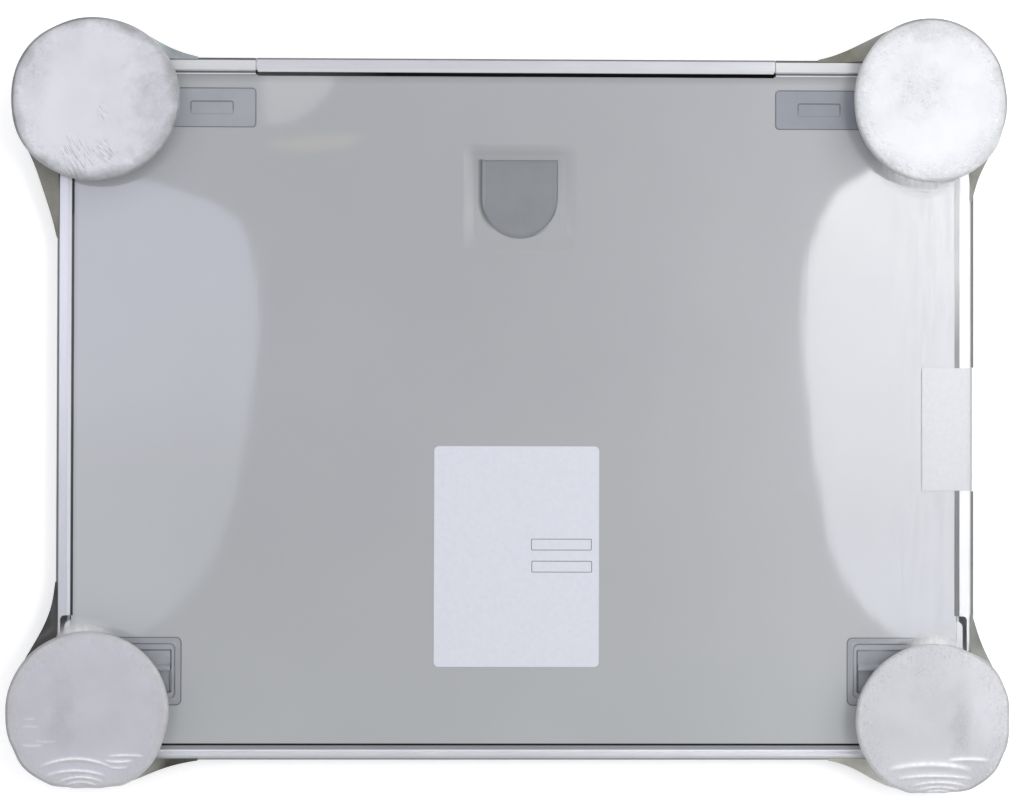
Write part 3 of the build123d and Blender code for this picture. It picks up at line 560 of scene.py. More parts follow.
def shutter_paint():
    """Grey shutter, with painted light towards the top and along the sides of the window over it."""
    paint = Paint("shutter_grey", 0.45, Coat_Weight=1.0, Coat_Roughness=0.07)
    paint.colour(paint.clouds(12 * MM, 4, (0.180, 0.190, 0.208), (0.200, 0.211, 0.230)))
    across = paint.absolute(paint.minus(paint.axis("X"), window_middle[0]))
    paint.darken(paint.rise(across, window_radius - 1.6 * MM, window_radius - 0.8 * MM), 1.30)
    paint.darken(paint.rise(paint.axis("Y"), window_top - 2.5 * MM, window_top), 1.18)
    return paint.moulded(0.45)


def cover_paint():
    """Blue-grey cover, darker towards the right: a thin painted shadow line in the joint round it, and a
    painted shade line round its imprint, fainter at its foot.
    """
    paint = Paint("cover_blue_grey", 0.42, Coat_Weight=1.0, Coat_Roughness=0.06)
    paint.colour(paint.clouds(14 * MM, 4, (0.278, 0.292, 0.320), (0.316, 0.332, 0.362)))
    paint.tint(paint.bands(paint.axis("X"), [(-0.12, (1.0, 1.0, 1.0)), (0.12, (0.79, 0.80, 0.85))]))
    rim = paint.outside(cover_middle, cover_size, cover_radius)
    paint.darken(paint.rise(rim, -0.55 * MM, -0.1 * MM), 0.35)
    imprint = paint.outside(cover_middle, imprint_size, imprint_radius)
    lower = paint.grade(paint.axis("Y"), 0.25, 1.0, cover_middle[1] - imprint_size[1] / 2, cover_middle[1])
    paint.darken(paint.times(paint.line(imprint, 0.0, 0.5 * MM), lower), 0.45)
    return paint.moulded(0.42)


def bezel_paint():
    """Bezel: ring the colour of the lid with a painted shadow line outside it and a band of painted light on
    it, darker dished middle, and painted shade at the edge of the opening.
    """
    paint = Paint("bezel_grey", 0.42, Coat_Weight=1.0, Coat_Roughness=0.06)
    ring = paint.clouds(14 * MM, 4, (0.262, 0.270, 0.288), (0.285, 0.294, 0.313))
    paint.colour(paint.clouds(10 * MM, 4, (0.250, 0.264, 0.296), (0.277, 0.292, 0.325)))
    rim = paint.outside(latch_middle, bezel_size, bezel_radius)
    inner = paint.outside(latch_middle, [size - 2 * bezel_ring for size in bezel_size], bezel_radius)
    opening = paint.outside(latch_middle, opening_size, opening_radius)
    paint.lay(ring, paint.rise(inner, -1.2 * MM, 0.6 * MM))
    paint.darken(paint.rise(rim, -0.5 * MM, -0.1 * MM), 0.42)
    paint.darken(paint.line(rim, -2.85 * MM, 0.8 * MM), 1.16)
    paint.darken(paint.fall(opening, 0.15 * MM, 0.6 * MM), 0.3)
    return paint.moulded(0.42)


def metal_paint(name, base, roughness, size=1.5 * MM, stretch=(12, 1, 1)):
    """Plain rolled or turned metal."""
    paint = Paint(name, roughness, 1.0)
    lines = paint.noise(size, 4, stretch)
    paint.colour(paint.ramp(lines, dimmed(base, 0.88), base))
    paint.rough(lines, roughness - 0.08, roughness + 0.1)
    paint.bump(lines, 0.01 * MM)
    return paint.material


def felt_paint():
    """Black felt with a short nap."""
    paint = Paint("felt_black", 0.95, Sheen_Weight=0.4)
    fibres = paint.noise(0.4 * MM, 6, (1, 3, 1), distortion=1.5)
    paint.colour(paint.ramp(fibres, (0.012, 0.012, 0.013), (0.045, 0.045, 0.048)))
    paint.bump(fibres, 0.25 * MM)
    return paint.material


def foam_paint():
    """Black open-celled foam."""
    paint = Paint("foam_black", 0.92)
    pores = paint.cells(0.7 * MM)
    paint.colour(paint.ramp(pores, (0.006, 0.006, 0.007), (0.06, 0.06, 0.065), 0.1, 0.5))
    paint.bump(pores, 0.2 * MM)
    return paint.material


def screen_paint():
    """Smooth white coating of the intensifying screens."""
    paint = Paint("screen_white", 0.38)
    paint.colour(paint.clouds(60 * MM, 3, (0.83, 0.83, 0.80), (0.88, 0.88, 0.86)))
    paint.bump(paint.noise(0.3 * MM, 3), 0.006 * MM)
    return paint.material


def paper_paint(name, low, high):
    """Label paper under film."""
    paint = Paint(name, 0.5, Coat_Weight=1.0, Coat_Roughness=0.08)
    paint.colour(paint.clouds(2 * MM, 5, low, high))
    paint.bump(paint.noise(0.5 * MM, 4), 0.012 * MM)
    return paint.material


def ink_paint():
    """Printed line on a label."""
    paint = Paint("label_ink", 0.6)
    paint.colour(paint.clouds(0.4 * MM, 3, (0.03, 0.03, 0.035), (0.07, 0.07, 0.075)))
    return paint.material


def web_paint(name, rail_end, disc_end):
    """Shrink film that stands free of the case, with creases along its pull. Each end is a place and a
    colour; the colours are painted light and shade, which differ from web to web."""
    paint = Paint(name, 0.45, Coat_Weight=0.15, Coat_Roughness=0.3)
    pull = paint.along(rail_end[0], disc_end[0])
    paint.colour(paint.ramp(pull, rail_end[1], disc_end[1], 0.3, 0.8))
    paint.tint(paint.clouds(6 * MM, 4, (0.78, 0.78, 0.78), (1, 1, 1), (1, 1, 3)))
    paint.bump(paint.noise(3.5 * MM, 3, (1, 1, 3)), 0.12 * MM, sockets=coat_sockets)
    return paint.material


def disc_paint(name, look):
    """White foam under crinkled film: painted shade and dark reflection greying it towards the rim, speckled
    along it and in patches, with painted glints and painted highlights on the folds.
    """
    paint = Paint(name, 0.5, Coat_Weight=0.6, Coat_Roughness=0.3)
    body, rim, side, turn = look["body"], look["rim"], look["side"], look["turn"]
    share = paint.attribute("share")
    wavy = paint.plus(share, paint.grade(paint.noise(14 * MM, 4), -0.06, 0.06, 0.3, 0.7))
    paint.colour(paint.ramp(paint.noise(16 * MM, 6), dimmed(body, 0.94), body, 0.35, 0.6))
    paint.lay(paint.clouds(5 * MM, 5, dimmed(rim, 0.85), rim), paint.rise(wavy, 0.87, 0.99))
    # side face under the rim in its own painted light and shade, and a painted thin shade line that the rim
    # shows on one side
    below = paint.fall(paint.axis("Z"), *disc_side_levels)
    paint.lay(paint.clouds(4 * MM, 5, dimmed(side, 0.93), side, (1, 1, 4)), below)
    middle = Vector(look["middle"]) * MM
    towards = Vector(look["shade"]) * look["half"][0] * MM
    facing = paint.rise(paint.along(middle - towards, middle + towards), 0.55, 0.8)
    paint.darken(paint.times(facing, paint.rise(share, 0.955, 0.985)), look["shade_to"])
    # lighter and darker patches, partly painted light and shade, then specks and painted glints in the darker
    # ones and along the rim
    band = paint.rise(wavy, 0.66, 0.86)
    for middle, half, shade in look["blotches"]:
        near = paint.fall(paint.patch(middle, half, 8 * MM), 0.3, 1.4)
        paint.darken(near, shade)
        band = paint.most(band, near) if shade < 1 else band
    fine = paint.noise(look["grain"] * MM, 6, (1, 1.6, 1), turn, 1.2)
    paint.darken(paint.times(paint.rise(fine, 0.54, 0.66), band), look["specks"])
    paint.darken(paint.times(paint.fall(fine, 0.34, 0.42), band), look["glint"])
    relief = paint.times(fine, band)
    # scratches in the film: dark lines, with painted glints on the lines between them
    for middle, half, direction in look["scratches"]:
        near = paint.fall(paint.patch(middle, half, 4 * MM), 0.7, 1.0)
        lines = paint.noise(0.52 * MM, 2, (1, 13, 1), direction, 0.15)
        paint.darken(paint.times(paint.rise(lines, 0.53, 0.62), near), 0.72)
        paint.darken(paint.times(paint.fall(lines, 0.38, 0.46), near), 1.12)
        relief = paint.plus(relief, paint.times(lines, near))
    # painted highlights on the crests of the folds
    paint.lay(paint.plain((0.93, 0.93, 0.94)), paint.attribute("crest"))
    folds = paint.bump(relief, look["crinkle"] * MM, sockets=coat_sockets)
    slow = paint.bump(paint.noise(7 * MM, 3, (2.5, 1, 1), turn), 0.05 * MM, folds, coat_sockets)
    paint.bump(paint.noise(0.6 * MM, 4, (4, 1, 1), turn), 0.02 * MM, slow, coat_sockets)
    return paint.material


def veil_paint():
    """Clear film that stands out round a disc's foot, painted pale for the light it catches, as a veil that
    thins outwards.
    """
    paint = Paint("film_veil", 0.6, Coat_Weight=0.3, Coat_Roughness=0.3)
    paint.colour(paint.clouds(3 * MM, 4, (0.96, 0.96, 0.97), (0.99, 0.99, 0.99)))
    wisps = paint.grade(paint.noise(2.2 * MM, 5, (1, 3, 1)), 0.8, 1.0, 0.35, 0.65)
    paint.socket("Alpha", paint.times(wisps, paint.attribute("thin")))
    return paint.material


def rail_film_paint(name, film):
    """Film beside a rail: painted shade and dark reflection over the gap, by its place along it, and painted
    lit where it lies on the metal.
    """
    paint = Paint(name, 0.4, Coat_Roughness=0.06)
    across, stretch = ("X", (1, 6, 1)) if film["run"] == "Y" else ("Y", (6, 1, 1))
    paint.colour(paint.bands(paint.axis(film["run"]), greys(*film["dark"])))
    paint.tint(paint.clouds(3 * MM, 4, (0.85, 0.85, 0.85), (1, 1, 1), stretch))
    start = film["turn_at"] * MM
    turned = paint.rise(paint.absolute(paint.axis(across)), start, start + 0.35 * MM)
    paint.lay(paint.plain(film["lit"]), turned)
    paint.socket("Coat Weight", paint.grade(turned, film["coat"], 0.9))
    paint.socket("Specular IOR Level", paint.grade(turned, 0.5 * film["coat"], 0.5))
    paint.bump(paint.noise(2 * MM, 3, stretch), 0.02 * MM, sockets=coat_sockets)
    return paint.material


# Light and shade across the rail at the latches, from outside in, along the left rail and across the leaves
latch_profile = greys(
    (-164.0, 0.8), (-163.0, 0.92), (-162.5, 0.82), (-162.1, 0.89), (-161.6, 0.94), (-161.1, 1.01),
    (-160.7, 1.10), (-160.2, 1.38), (-159.7, 1.75), (-159.3, 0.92), (-158.8, 0.38), (-158.3, 0.41),
    (-157.9, 0.415), (-157.45, 0.44), (-157.0, 0.30), (-156.7, 0.04),
)
left_profile = greys((-80, 0.74), (-5, 0.86), (66, 1.02))
leaf_profile = greys(
    (155.0, 0.75), (155.5, 0.9), (156.5, 1.0), (156.9, 0.12), (157.6, 0.08), (157.9, 0.92), (164.0, 1.0)
)
silver = (0.57, 0.575, 0.61)
frame_greys = ((0.50, 0.505, 0.52), (0.56, 0.565, 0.58))
trim_greys = ((0.285, 0.300, 0.330), (0.325, 0.340, 0.372))


def dress_frame():
    """Gives each CAD node its finished material."""
    # painted light: the top and bottom rails turn lighter towards their right ends
    top_sides, bottom_sides = greys((0, 1.0), (120, 1.13)), greys((0, 1.0), (120, 1.14))
    by_slot = {
        "front_sheet": moulded_paint("front_laminate", (0.20, 0.21, 0.22), (0.26, 0.27, 0.285), 0.55),
        "rail_metal": rail_paint("rail_along_x", "x", silver, sides=top_sides),
        "corner_plastic": moulded_paint("corner_grey", (0.36, 0.37, 0.39), (0.42, 0.43, 0.45), 0.5, 0.3),
        "inner_plastic": moulded_paint("inner_black", (0.012, 0.012, 0.013), (0.03, 0.03, 0.032), 0.55),
        "steel": metal_paint("steel_bright", (0.62, 0.62, 0.63), 0.3),
        "screen_coating": screen_paint(),
        "felt": felt_paint(),
        "back_sheet": enamel_paint(),
        "frame_plastic": moulded_paint("frame_silver_grey", *frame_greys, 0.4, 0.8),
        "inner_sheet": metal_paint("inner_aluminium", (0.55, 0.55, 0.56), 0.35),
        "lead": metal_paint("lead_dull", (0.28, 0.29, 0.31), 0.6, 6 * MM, (1, 1, 1)),
        "foam_black": foam_paint(),
        "hinge_metal": rail_paint("hinge_rolled", "x", (0.67, 0.67, 0.68), leaf_profile, -1.45, 0.08),
        "trim_plastic": moulded_paint("trim_blue_grey", *trim_greys, 0.4, 1.0),
        "window_plastic": shutter_paint(),
        "foam_white": moulded_paint("foam_plain", (0.80, 0.80, 0.82), (0.86, 0.86, 0.88), 0.8),
    }
    # painted light: the left and right rails get lighter greys of their own than the silver of the others,
    # the left one bluer
    by_node = {
        "left_rail": rail_paint("rail_left", "y", (0.615, 0.62, 0.67), left_profile, -1.5),
        "right_rail": rail_paint("rail_right", "y", (0.62, 0.62, 0.63), turn=-0.75),
        "bottom_rail": rail_paint("rail_latch_side", "x", silver, latch_profile, sides=bottom_sides),
        "hinge_cover_left": cover_paint(),
        "latch_bezel_left": bezel_paint(),
    }
    for kind in ("hinge_cover", "latch_bezel"):
        by_node[f"{kind}_right"] = by_node[f"{kind}_left"]
    for part in frame["record"]["subparts"]:
        piece = nodes[part["node"]]
        piece.data.materials.clear()
        piece.data.materials.append(by_node.get(part["node"], by_slot[part["material_slot"]]))


# ---------------------------------------------------------------- building pieces


def make_piece(name, points, faces, material, body, smooth=True):
    """Mesh piece that rides on a body."""
    mesh = bpy.data.meshes.new(name)
    mesh.from_pydata(points, [], faces)
    mesh.update()
    for polygon in mesh.polygons:
        polygon.use_smooth = smooth
    mesh.materials.append(material)
    piece = add_object(name, mesh)
    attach(piece, body)
    return piece


def add_attribute(piece, name, values):
    """Gives a number to each point of a piece, for its material."""
    piece.data.attributes.new(name, "FLOAT", "POINT").data.foreach_set("value", values)


def grid_faces(rows, columns, closed):
    """Quads of a grid of points, closed round in its columns or open."""
    faces = []
    for row in range(rows - 1):
        for column in range(columns if closed else columns - 1):
            here, beside = row * columns + column, row * columns + (column + 1) % columns
            faces.append((here, beside, beside + columns, here + columns))
    return faces


# ---- Foam discs under film ----
# A fold of the film: middle across and up from the disc's centre, half length, how far its ends
# drop, height and half width, in millimetres
bottom_left_folds = [
    (-26.2, -4.1, 2.6, -0.2, 0.1, 0.5),
    (-26.2, -7.5, 4.4, 0.3, 0.1, 0.5),
    (-19.0, -14.6, 5.0, -0.4, 0.12, 0.5),
    (-25.0, -16.4, 5.0, -0.5, 0.22, 0.6),
    (-5.2, -22.2, 16.7, 3.9, 0.75, 0.9),
    (17.5, -20.6, 8.4, 0.5, 0.45, 0.8),
    (14.4, -23.6, 6.6, -0.6, 0.45, 0.8),
    (14.4, -26.4, 4.4, -0.4, 0.35, 0.6),
    (-5.2, -27.6, 14.0, 2.6, 0.65, 0.8),
    (-2.8, -30.6, 10.5, 2.4, 0.55, 0.6),
    (-2.8, -32.8, 7.5, 1.8, 0.45, 0.5),
]
bottom_right_folds = [
    (-2.2, -20.8, 19.6, 2.6, 0.80, 1.6),
    (15.6, -18.3, 9.8, 0.8, 0.55, 1.1),
    (0.0, -26.0, 17.5, 1.4, 0.6, 0.8),
    (2.0, -29.0, 13.0, 1.8, 0.5, 0.6),
    (2.0, -31.2, 10.0, 1.6, 0.45, 0.5),
    (2.0, -33.0, 7.0, 1.3, 0.4, 0.5),
]
# Outline, folds and look of each disc, in millimetres and degrees. Body, rim and side colours differ from
# disc to disc as painted light and shade on the same foam and film. Shade points to where its rim shows a
# painted thin dark line.
# Blotches give a middle, half sizes and a factor on the colour, for lighter and darker patches that are
# partly painted light and shade, scratches a direction instead. Glint is the factor on its painted glints.
# Swell gives directions and how far the film stands out or is drawn in there, 1 on the oval.
discs = {
    "top_left": {
        "middle": (-194.3, 142.4), "half": (38.7, 37.9), "folds": [],
        "body": (0.685, 0.69, 0.738), "rim": (0.38, 0.385, 0.41), "side": (0.66, 0.665, 0.69),
        "shade": (-0.8, 0.6), "shade_to": 0.32, "specks": 0.90, "glint": 1.10,
        "grain": 1.5, "crinkle": 0.25, "turn": -60,
        "blotches": [
            ((-215, 136), (12, 16), 1.07), ((-163.5, 138), (13, 38), 0.80), ((-222, 162), (7, 26), 0.92),
        ],
        "scratches": [
            ((-203.0, 113.5), (8.0, 12.5), 31), ((-189.6, 118.0), (5.6, 6.0), 43),
            ((-190.6, 135.5), (3.0, 4.2), 37),
        ],
        "swell": [
            (50, 1.0), (80, 0.995), (110, 1.008), (142, 1.03), (182, 1.005), (212, 1.028), (250, 1.01),
            (290, 1.0), (345, 1.0), (370, 1.016),
        ],
    },
    "top_right": {
        "middle": (192.1, 143.1), "half": (35.9, 37.4), "folds": [],
        "body": (0.775, 0.785, 0.82), "rim": (0.66, 0.665, 0.68), "side": (0.90, 0.90, 0.91),
        "shade": (0.6, 0.8), "shade_to": 0.30, "specks": 0.86, "glint": 1.10,
        "grain": 1.2, "crinkle": 0.5, "turn": 75,
        "blotches": [
            ((159.5, 138.5), (4, 24), 0.93), ((187, 149), (14, 12), 0.95), ((196, 175), (18, 5), 0.86),
        ],
        "scratches": [],
        "swell": [
            (-38, 1.03), (-20, 1.0), (10, 0.985), (35, 1.015), (60, 1.03), (90, 1.035), (120, 1.035),
            (150, 1.01), (180, 1.0), (240, 1.0),
        ],
    },
    "bottom_left": {
        "middle": (-196.6, -139.0), "half": (37.3, 36.3), "folds": bottom_left_folds,
        "body": (0.505, 0.505, 0.556), "rim": (0.52, 0.52, 0.54), "side": (0.66, 0.66, 0.67),
        "shade": (-1, 0.1), "shade_to": 0.62, "specks": 0.93, "glint": 1.06,
        "grain": 1.5, "crinkle": 0.12, "turn": 5,
        "blotches": [((-207.9, -139.6), (6, 17), 0.90), ((-196, -168), (30, 12), 1.07)],
        "scratches": [],
        "swell": [
            (90, 1.0), (150, 1.01), (180, 1.018), (205, 1.045), (222, 1.08), (242, 1.06), (258, 1.01),
            (270, 0.99), (282, 1.01), (298, 1.055), (315, 1.05), (345, 1.0),
        ],
    },
    "bottom_right": {
        "middle": (193.4, -143.0), "half": (35.6, 34.9), "folds": bottom_right_folds,
        "body": (0.55, 0.555, 0.585), "rim": (0.60, 0.60, 0.62), "side": (0.72, 0.72, 0.72),
        "shade": (1, 0), "shade_to": 0.62, "specks": 0.82, "glint": 1.10,
        "grain": 0.9, "crinkle": 0.15, "turn": 10,
        "blotches": [
            ((206.0, -145.4), (4.5, 16), 0.86), ((188.9, -119.1), (9, 11), 0.95),
            ((219, -135), (11, 24), 1.16), ((184, -166), (20, 10), 1.08),
        ],
        "scratches": [],
        "swell": [
            (0, 0.99), (20, 1.022), (40, 1.04), (70, 1.0), (145, 1.0), (170, 1.017), (190, 1.025),
            (210, 1.03), (235, 1.045), (250, 1.035), (262, 0.995), (270, 0.98), (280, 0.995), (300, 1.055),
            (318, 1.065), (335, 1.03),
        ],
    },
}
disc_round = 2.0 * MM  # upper edge
disc_draw = 2.2 * MM  # the film draws the foot in by this much
disc_foot_round = 1.0 * MM
disc_crown = 0.7 * MM
disc_dip = 0.12 * MM  # slow unevenness of the film over the foam
fold_room = 0.9 * MM  # the folds rise in it, up to the top of the pad
disc_turns = 320  # points round each ring
top_rings, rim_rings, side_rings, foot_rings = 66, 12, 5, 5  # counts
hub = 0.001  # reach of the rings in the middle


def fold_height(folds, across, up):
    """Height of the film's folds at a place on a disc in metres, and how near their lit crests it is."""
    height = 0.0
    crest = 0.0
    for middle, level, half, drop, rise, width in folds:
        along = (across / MM - middle) / half
        if abs(along) > 1:
            continue
        offset = (up / MM - level + drop * along * along) / width
        height += rise * MM * math.exp(-offset * offset) * (1 - along * along)
        lit = min(1.3, 0.25 + 1.9 * rise) * math.exp(-((offset - 0.25) ** 2) * 3.2) * (1 - along**4)
        crest = max(crest, lit * (0.75 + 0.35 * noise.noise(Vector((across * 500, up * 900, middle)))))
    return height, min(crest, 1.0)


def disc_profile(low, high):
    """Reach (1 at the rim), inset from it and level of each ring, from the top's middle to the foot's."""
    rings = []
    for step in range(top_rings):
        share = max(step / top_rings, hub)
        rings.append((share, disc_round * share, high - disc_crown * share**4))
    top = high - disc_crown
    for step in range(rim_rings + 1):
        angle = math.pi / 2 * step / rim_rings
        rings.append((1.0, disc_round * (1 - math.sin(angle)), top - disc_round * (1 - math.cos(angle))))
    for step in range(1, side_rings + 1):
        share = step / side_rings
        level = top - disc_round - (top - disc_round - low - disc_foot_round) * share
        rings.append((1.0, disc_draw * share, level))
    for step in range(1, foot_rings + 1):
        angle = math.pi / 2 * step / foot_rings
        inset = disc_draw + disc_foot_round * (1 - math.cos(angle))
        rings.append((1.0, inset, low + disc_foot_round * (1 - math.sin(angle))))
    return rings + [(0.5, 0.0, low), (hub, 0.0, low)]


def swell(look, angle):
    """How far the film stands out or is drawn in at a direction, eased between the listed ones."""
    marks = look["swell"]
    degrees = (math.degrees(angle) - marks[0][0]) % 360 + marks[0][0]
    for (start, low), (end, high) in zip(marks, marks[1:] + [(marks[0][0] + 360, marks[0][1])]):
        if degrees <= end:
            share = (1 - math.cos(math.pi * (degrees - start) / (end - start))) / 2
            return low + (high - low) * share
    return marks[0][1]


def disc_radius(look, angle):
    """Radius of a disc's slightly uneven outline, in metres."""
    wide, deep = look["half"]
    seed = Vector((math.cos(angle) * 2.2, math.sin(angle) * 2.2, look["middle"][0] * 0.04))
    round_part = wide * deep / math.hypot(deep * math.cos(angle), wide * math.sin(angle))
    return round_part * swell(look, angle) * MM * (1 - 0.004 * (1 + noise.noise(seed)))


def make_disc(place, look):
    """Foam disc with a rounded rim, and the folds and dents that the film presses into it."""
    node = f"corner_pad_{place}"
    low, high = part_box(node)
    centre = Vector(look["middle"]) * MM
    face = high.z - fold_room
    rings = disc_profile(low.z, face)
    top_level = face - disc_crown - disc_round
    points, crests, shares = [], [], []
    for share, inset, level in rings:
        for step in range(disc_turns):
            angle = 2 * math.pi * step / disc_turns
            rim = disc_radius(look, angle)
            reach = share * rim - inset
            across = math.cos(angle) * reach
            up = math.sin(angle) * reach
            lift = crest = 0.0
            if level > top_level:
                spot = Vector(((centre.x + across) * 90, (centre.y + up) * 90, 3.0))
                lift, crest = fold_height(look["folds"], across, up)
                lift -= disc_dip * (1 + noise.noise(spot))
            points.append((centre.x + across, centre.y + up, level + lift))
            crests.append(max(crest, 0.0))
            shares.append(reach / rim)
    faces = grid_faces(len(rings), disc_turns, True)
    faces.append(tuple(reversed(range(disc_turns))))
    faces.append(tuple(range((len(rings) - 1) * disc_turns, len(rings) * disc_turns)))
    paint = disc_paint(f"disc_{place}", look)
    disc = make_piece(f"disc_{place}", points, faces, paint, f"pad_{place}")
    add_attribute(disc, "crest", crests)
    add_attribute(disc, "share", shares)
    bm = bmesh.new()
    bm.from_mesh(disc.data)
    bmesh.ops.recalc_face_normals(bm, faces=bm.faces)
    bm.to_mesh(disc.data)
    bm.free()
    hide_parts(node)


# ---- Film between the discs and the case ----
# Each web runs from a disc along a side or an end of the case: its colour at the disc and at the rail, which
# paint its light and shade, and its outer edge from the disc to the rail, in millimetres
webs = {
    "top_left_side": ((0.17, 0.17, 0.165), (0.22, 0.21, 0.175), [
        (-231.1, 128.3), (-229.4, 124.2), (-226.3, 118.2), (-223.6, 112.0), (-221.0, 103.9), (-218.5, 95.7),
        (-216.0, 87.4), (-214.3, 79.2),
    ]),
    "top_left_end": ((0.95, 0.96, 0.98), (0.40, 0.45, 0.46), [
        (-180.2, 177.8), (-176.6, 176.4), (-171.3, 173.4), (-165.9, 170.2), (-160.6, 167.6), (-155.2, 165.6),
        (-148.5, 164.2),
    ]),
    "top_right_end": ((0.40, 0.40, 0.41), (0.245, 0.24, 0.19), [
        (176.6, 179.0), (173.1, 177.4), (167.7, 174.6), (162.4, 171.7), (157.0, 169.1), (151.6, 166.8),
        (146.2, 165.0), (141.5, 164.2),
    ]),
    "top_right_side": ((0.30, 0.30, 0.28), (0.31, 0.315, 0.27), [
        (225.0, 126.8), (223.8, 123.2), (221.1, 117.8), (218.2, 112.4), (216.2, 107.0), (214.9, 101.6),
        (214.3, 98.0),
    ]),
    "bottom_left_side": ((0.05, 0.047, 0.035), (0.012, 0.012, 0.012), [
        (-232.7, -127.9), (-231.1, -123.9), (-228.0, -117.8), (-224.4, -111.7), (-221.0, -105.6),
        (-218.0, -99.5), (-215.9, -93.2), (-214.8, -87.1), (-214.4, -81.0),
    ]),
    "bottom_left_end": ((0.70, 0.70, 0.64), (0.045, 0.045, 0.032), [
        (-183.2, -174.4), (-179.7, -173.7), (-174.4, -171.9), (-169.0, -169.4), (-163.6, -167.4),
        (-158.3, -165.8), (-151.1, -164.4), (-147.5, -164.1),
    ]),
    "bottom_right_end": ((0.90, 0.90, 0.87), (0.52, 0.52, 0.45), [
        (180.4, -177.1), (176.9, -176.6), (171.6, -174.9), (166.3, -172.0), (161.0, -168.8), (155.7, -166.3),
        (150.3, -164.6), (146.5, -164.1),
    ]),
    "bottom_right_side": ((0.56, 0.56, 0.55), (0.25, 0.26, 0.23), [
        (227.3, -129.1), (225.9, -125.5), (223.2, -120.1), (220.4, -114.7), (218.1, -109.2), (216.4, -103.8),
        (215.1, -98.5), (214.3, -95.5),
    ]),
}
# Rails that the webs come down to: the coordinate across them, their outer face, and the web's level there
web_rails = {"side": (0, side_face, 13.8 * MM), "end": (1, hinge_face, 15.45 * MM)}
web_level_disc = 27.0 * MM
web_bite = 1.2 * MM  # inside the disc
web_lap = 0.9 * MM  # over the rails' rounded edges
web_beside = 1.2 * MM  # how near a place on the disc counts as beside a point of the web
web_sag = 0.8 * MM
web_columns = 7
web_lead = 3  # points before the first one, under the disc's rim
web_lead_shares = (0.25, 0.65, 0.9)  # how far the first points have left the disc's outline


def web_inner(disc, rail, outer, level):
    """Place on the rail's rounded edge beside a point of a web's outer edge, and its level there: the given
    one where the disc reaches over the rail, or else that of the back face."""
    middle = Vector(disc["middle"]) * MM
    across, rail_face = web_rails[rail][:2]
    offset = outer[1 - across] - middle[1 - across]
    rail_edge = rail_face - web_lap
    reach = -1.0
    outwards = Vector((0.0, 0.0))
    for step in range(1, 60):
        angle = math.pi * step / 60 - math.pi / 2
        outwards[across] = math.copysign(math.cos(angle), middle[across])
        outwards[1 - across] = math.sin(angle)
        radius = disc_radius(disc, math.atan2(outwards.y, outwards.x)) - web_bite
        if abs(radius * outwards[1 - across] - offset) < web_beside:
            reach = max(reach, abs(middle[across] + radius * outwards[across]))
    spot = Vector(outer)
    spot[across] = math.copysign(min(rail_edge, abs(outer[across])), outer[across])
    return spot, (level if reach > rail_edge else back_face + film_clearance)


def web_edge(disc, outline):
    """Outer edge of a web, led smoothly out of the disc's own outline."""
    middle = Vector(disc["middle"]) * MM
    edge = [Vector(point) * MM for point in outline]
    angles = [math.atan2(*(point - middle).yx) for point in edge]
    turn = math.remainder(angles[0] - angles[1], 2 * math.pi)
    lead = []
    for step in range(web_lead, 0, -1):
        angle = angles[0] + turn * step
        reach = disc_radius(disc, angle) - 0.5 * MM
        lead.append(middle + Vector((math.cos(angle), math.sin(angle))) * reach)
    for index, share in enumerate(web_lead_shares):
        spoke = edge[index] - middle
        flush = disc_radius(disc, angles[index]) - 0.3 * MM
        edge[index] = middle + spoke.normalized() * (flush + (spoke.length - flush) * share)
    return lead + edge


def make_web(name, near_disc, near_rail, outline):
    """Film drawn tight from a disc's rim down to the outer face of a rail."""
    place, rail = name.rsplit("_", 1)
    disc = discs[place]
    edge = web_edge(disc, outline)
    rail_level = web_rails[rail][2]
    points = []
    for index, outer in enumerate(edge):
        share = index / (len(edge) - 1)
        level = web_level_disc + (rail_level - web_level_disc) * share
        inner, inner_level = web_inner(disc, rail, outer, level + 1.5 * MM * (1 - share))
        for column in range(web_columns):
            across = column / (web_columns - 1)
            spot = outer.lerp(inner, across)
            sag = web_sag * math.sin(math.pi * across) * (1 - share)
            points.append((spot.x, spot.y, level + (inner_level - level) * across - sag))
    faces = grid_faces(len(edge), web_columns, False)
    paint = web_paint(f"web_{name}", (edge[-1], near_rail), (edge[0], near_disc))
    web = make_piece(f"web_{name}", points, faces, paint, f"pad_{place}")
    smooth = web.modifiers.new("smooth", "SUBSURF")
    smooth.levels = smooth.render_levels = 2


# Clear film round the inner side of each disc: first and last direction in degrees, and its width
# on the lid in millimetres
skirts = {"bottom_left": (72, 126, 4.2), "bottom_right": (58, 110, 5.5), "top_right": (226, 302, 4.4)}
skirt_room = 3.2 * MM  # under the disc's rim
skirt_least = 2.4 * MM  # past the rim, at the ends
skirt_rise = 0.25 * MM  # towards the foot
skirt_rows, skirt_columns = 6, 73


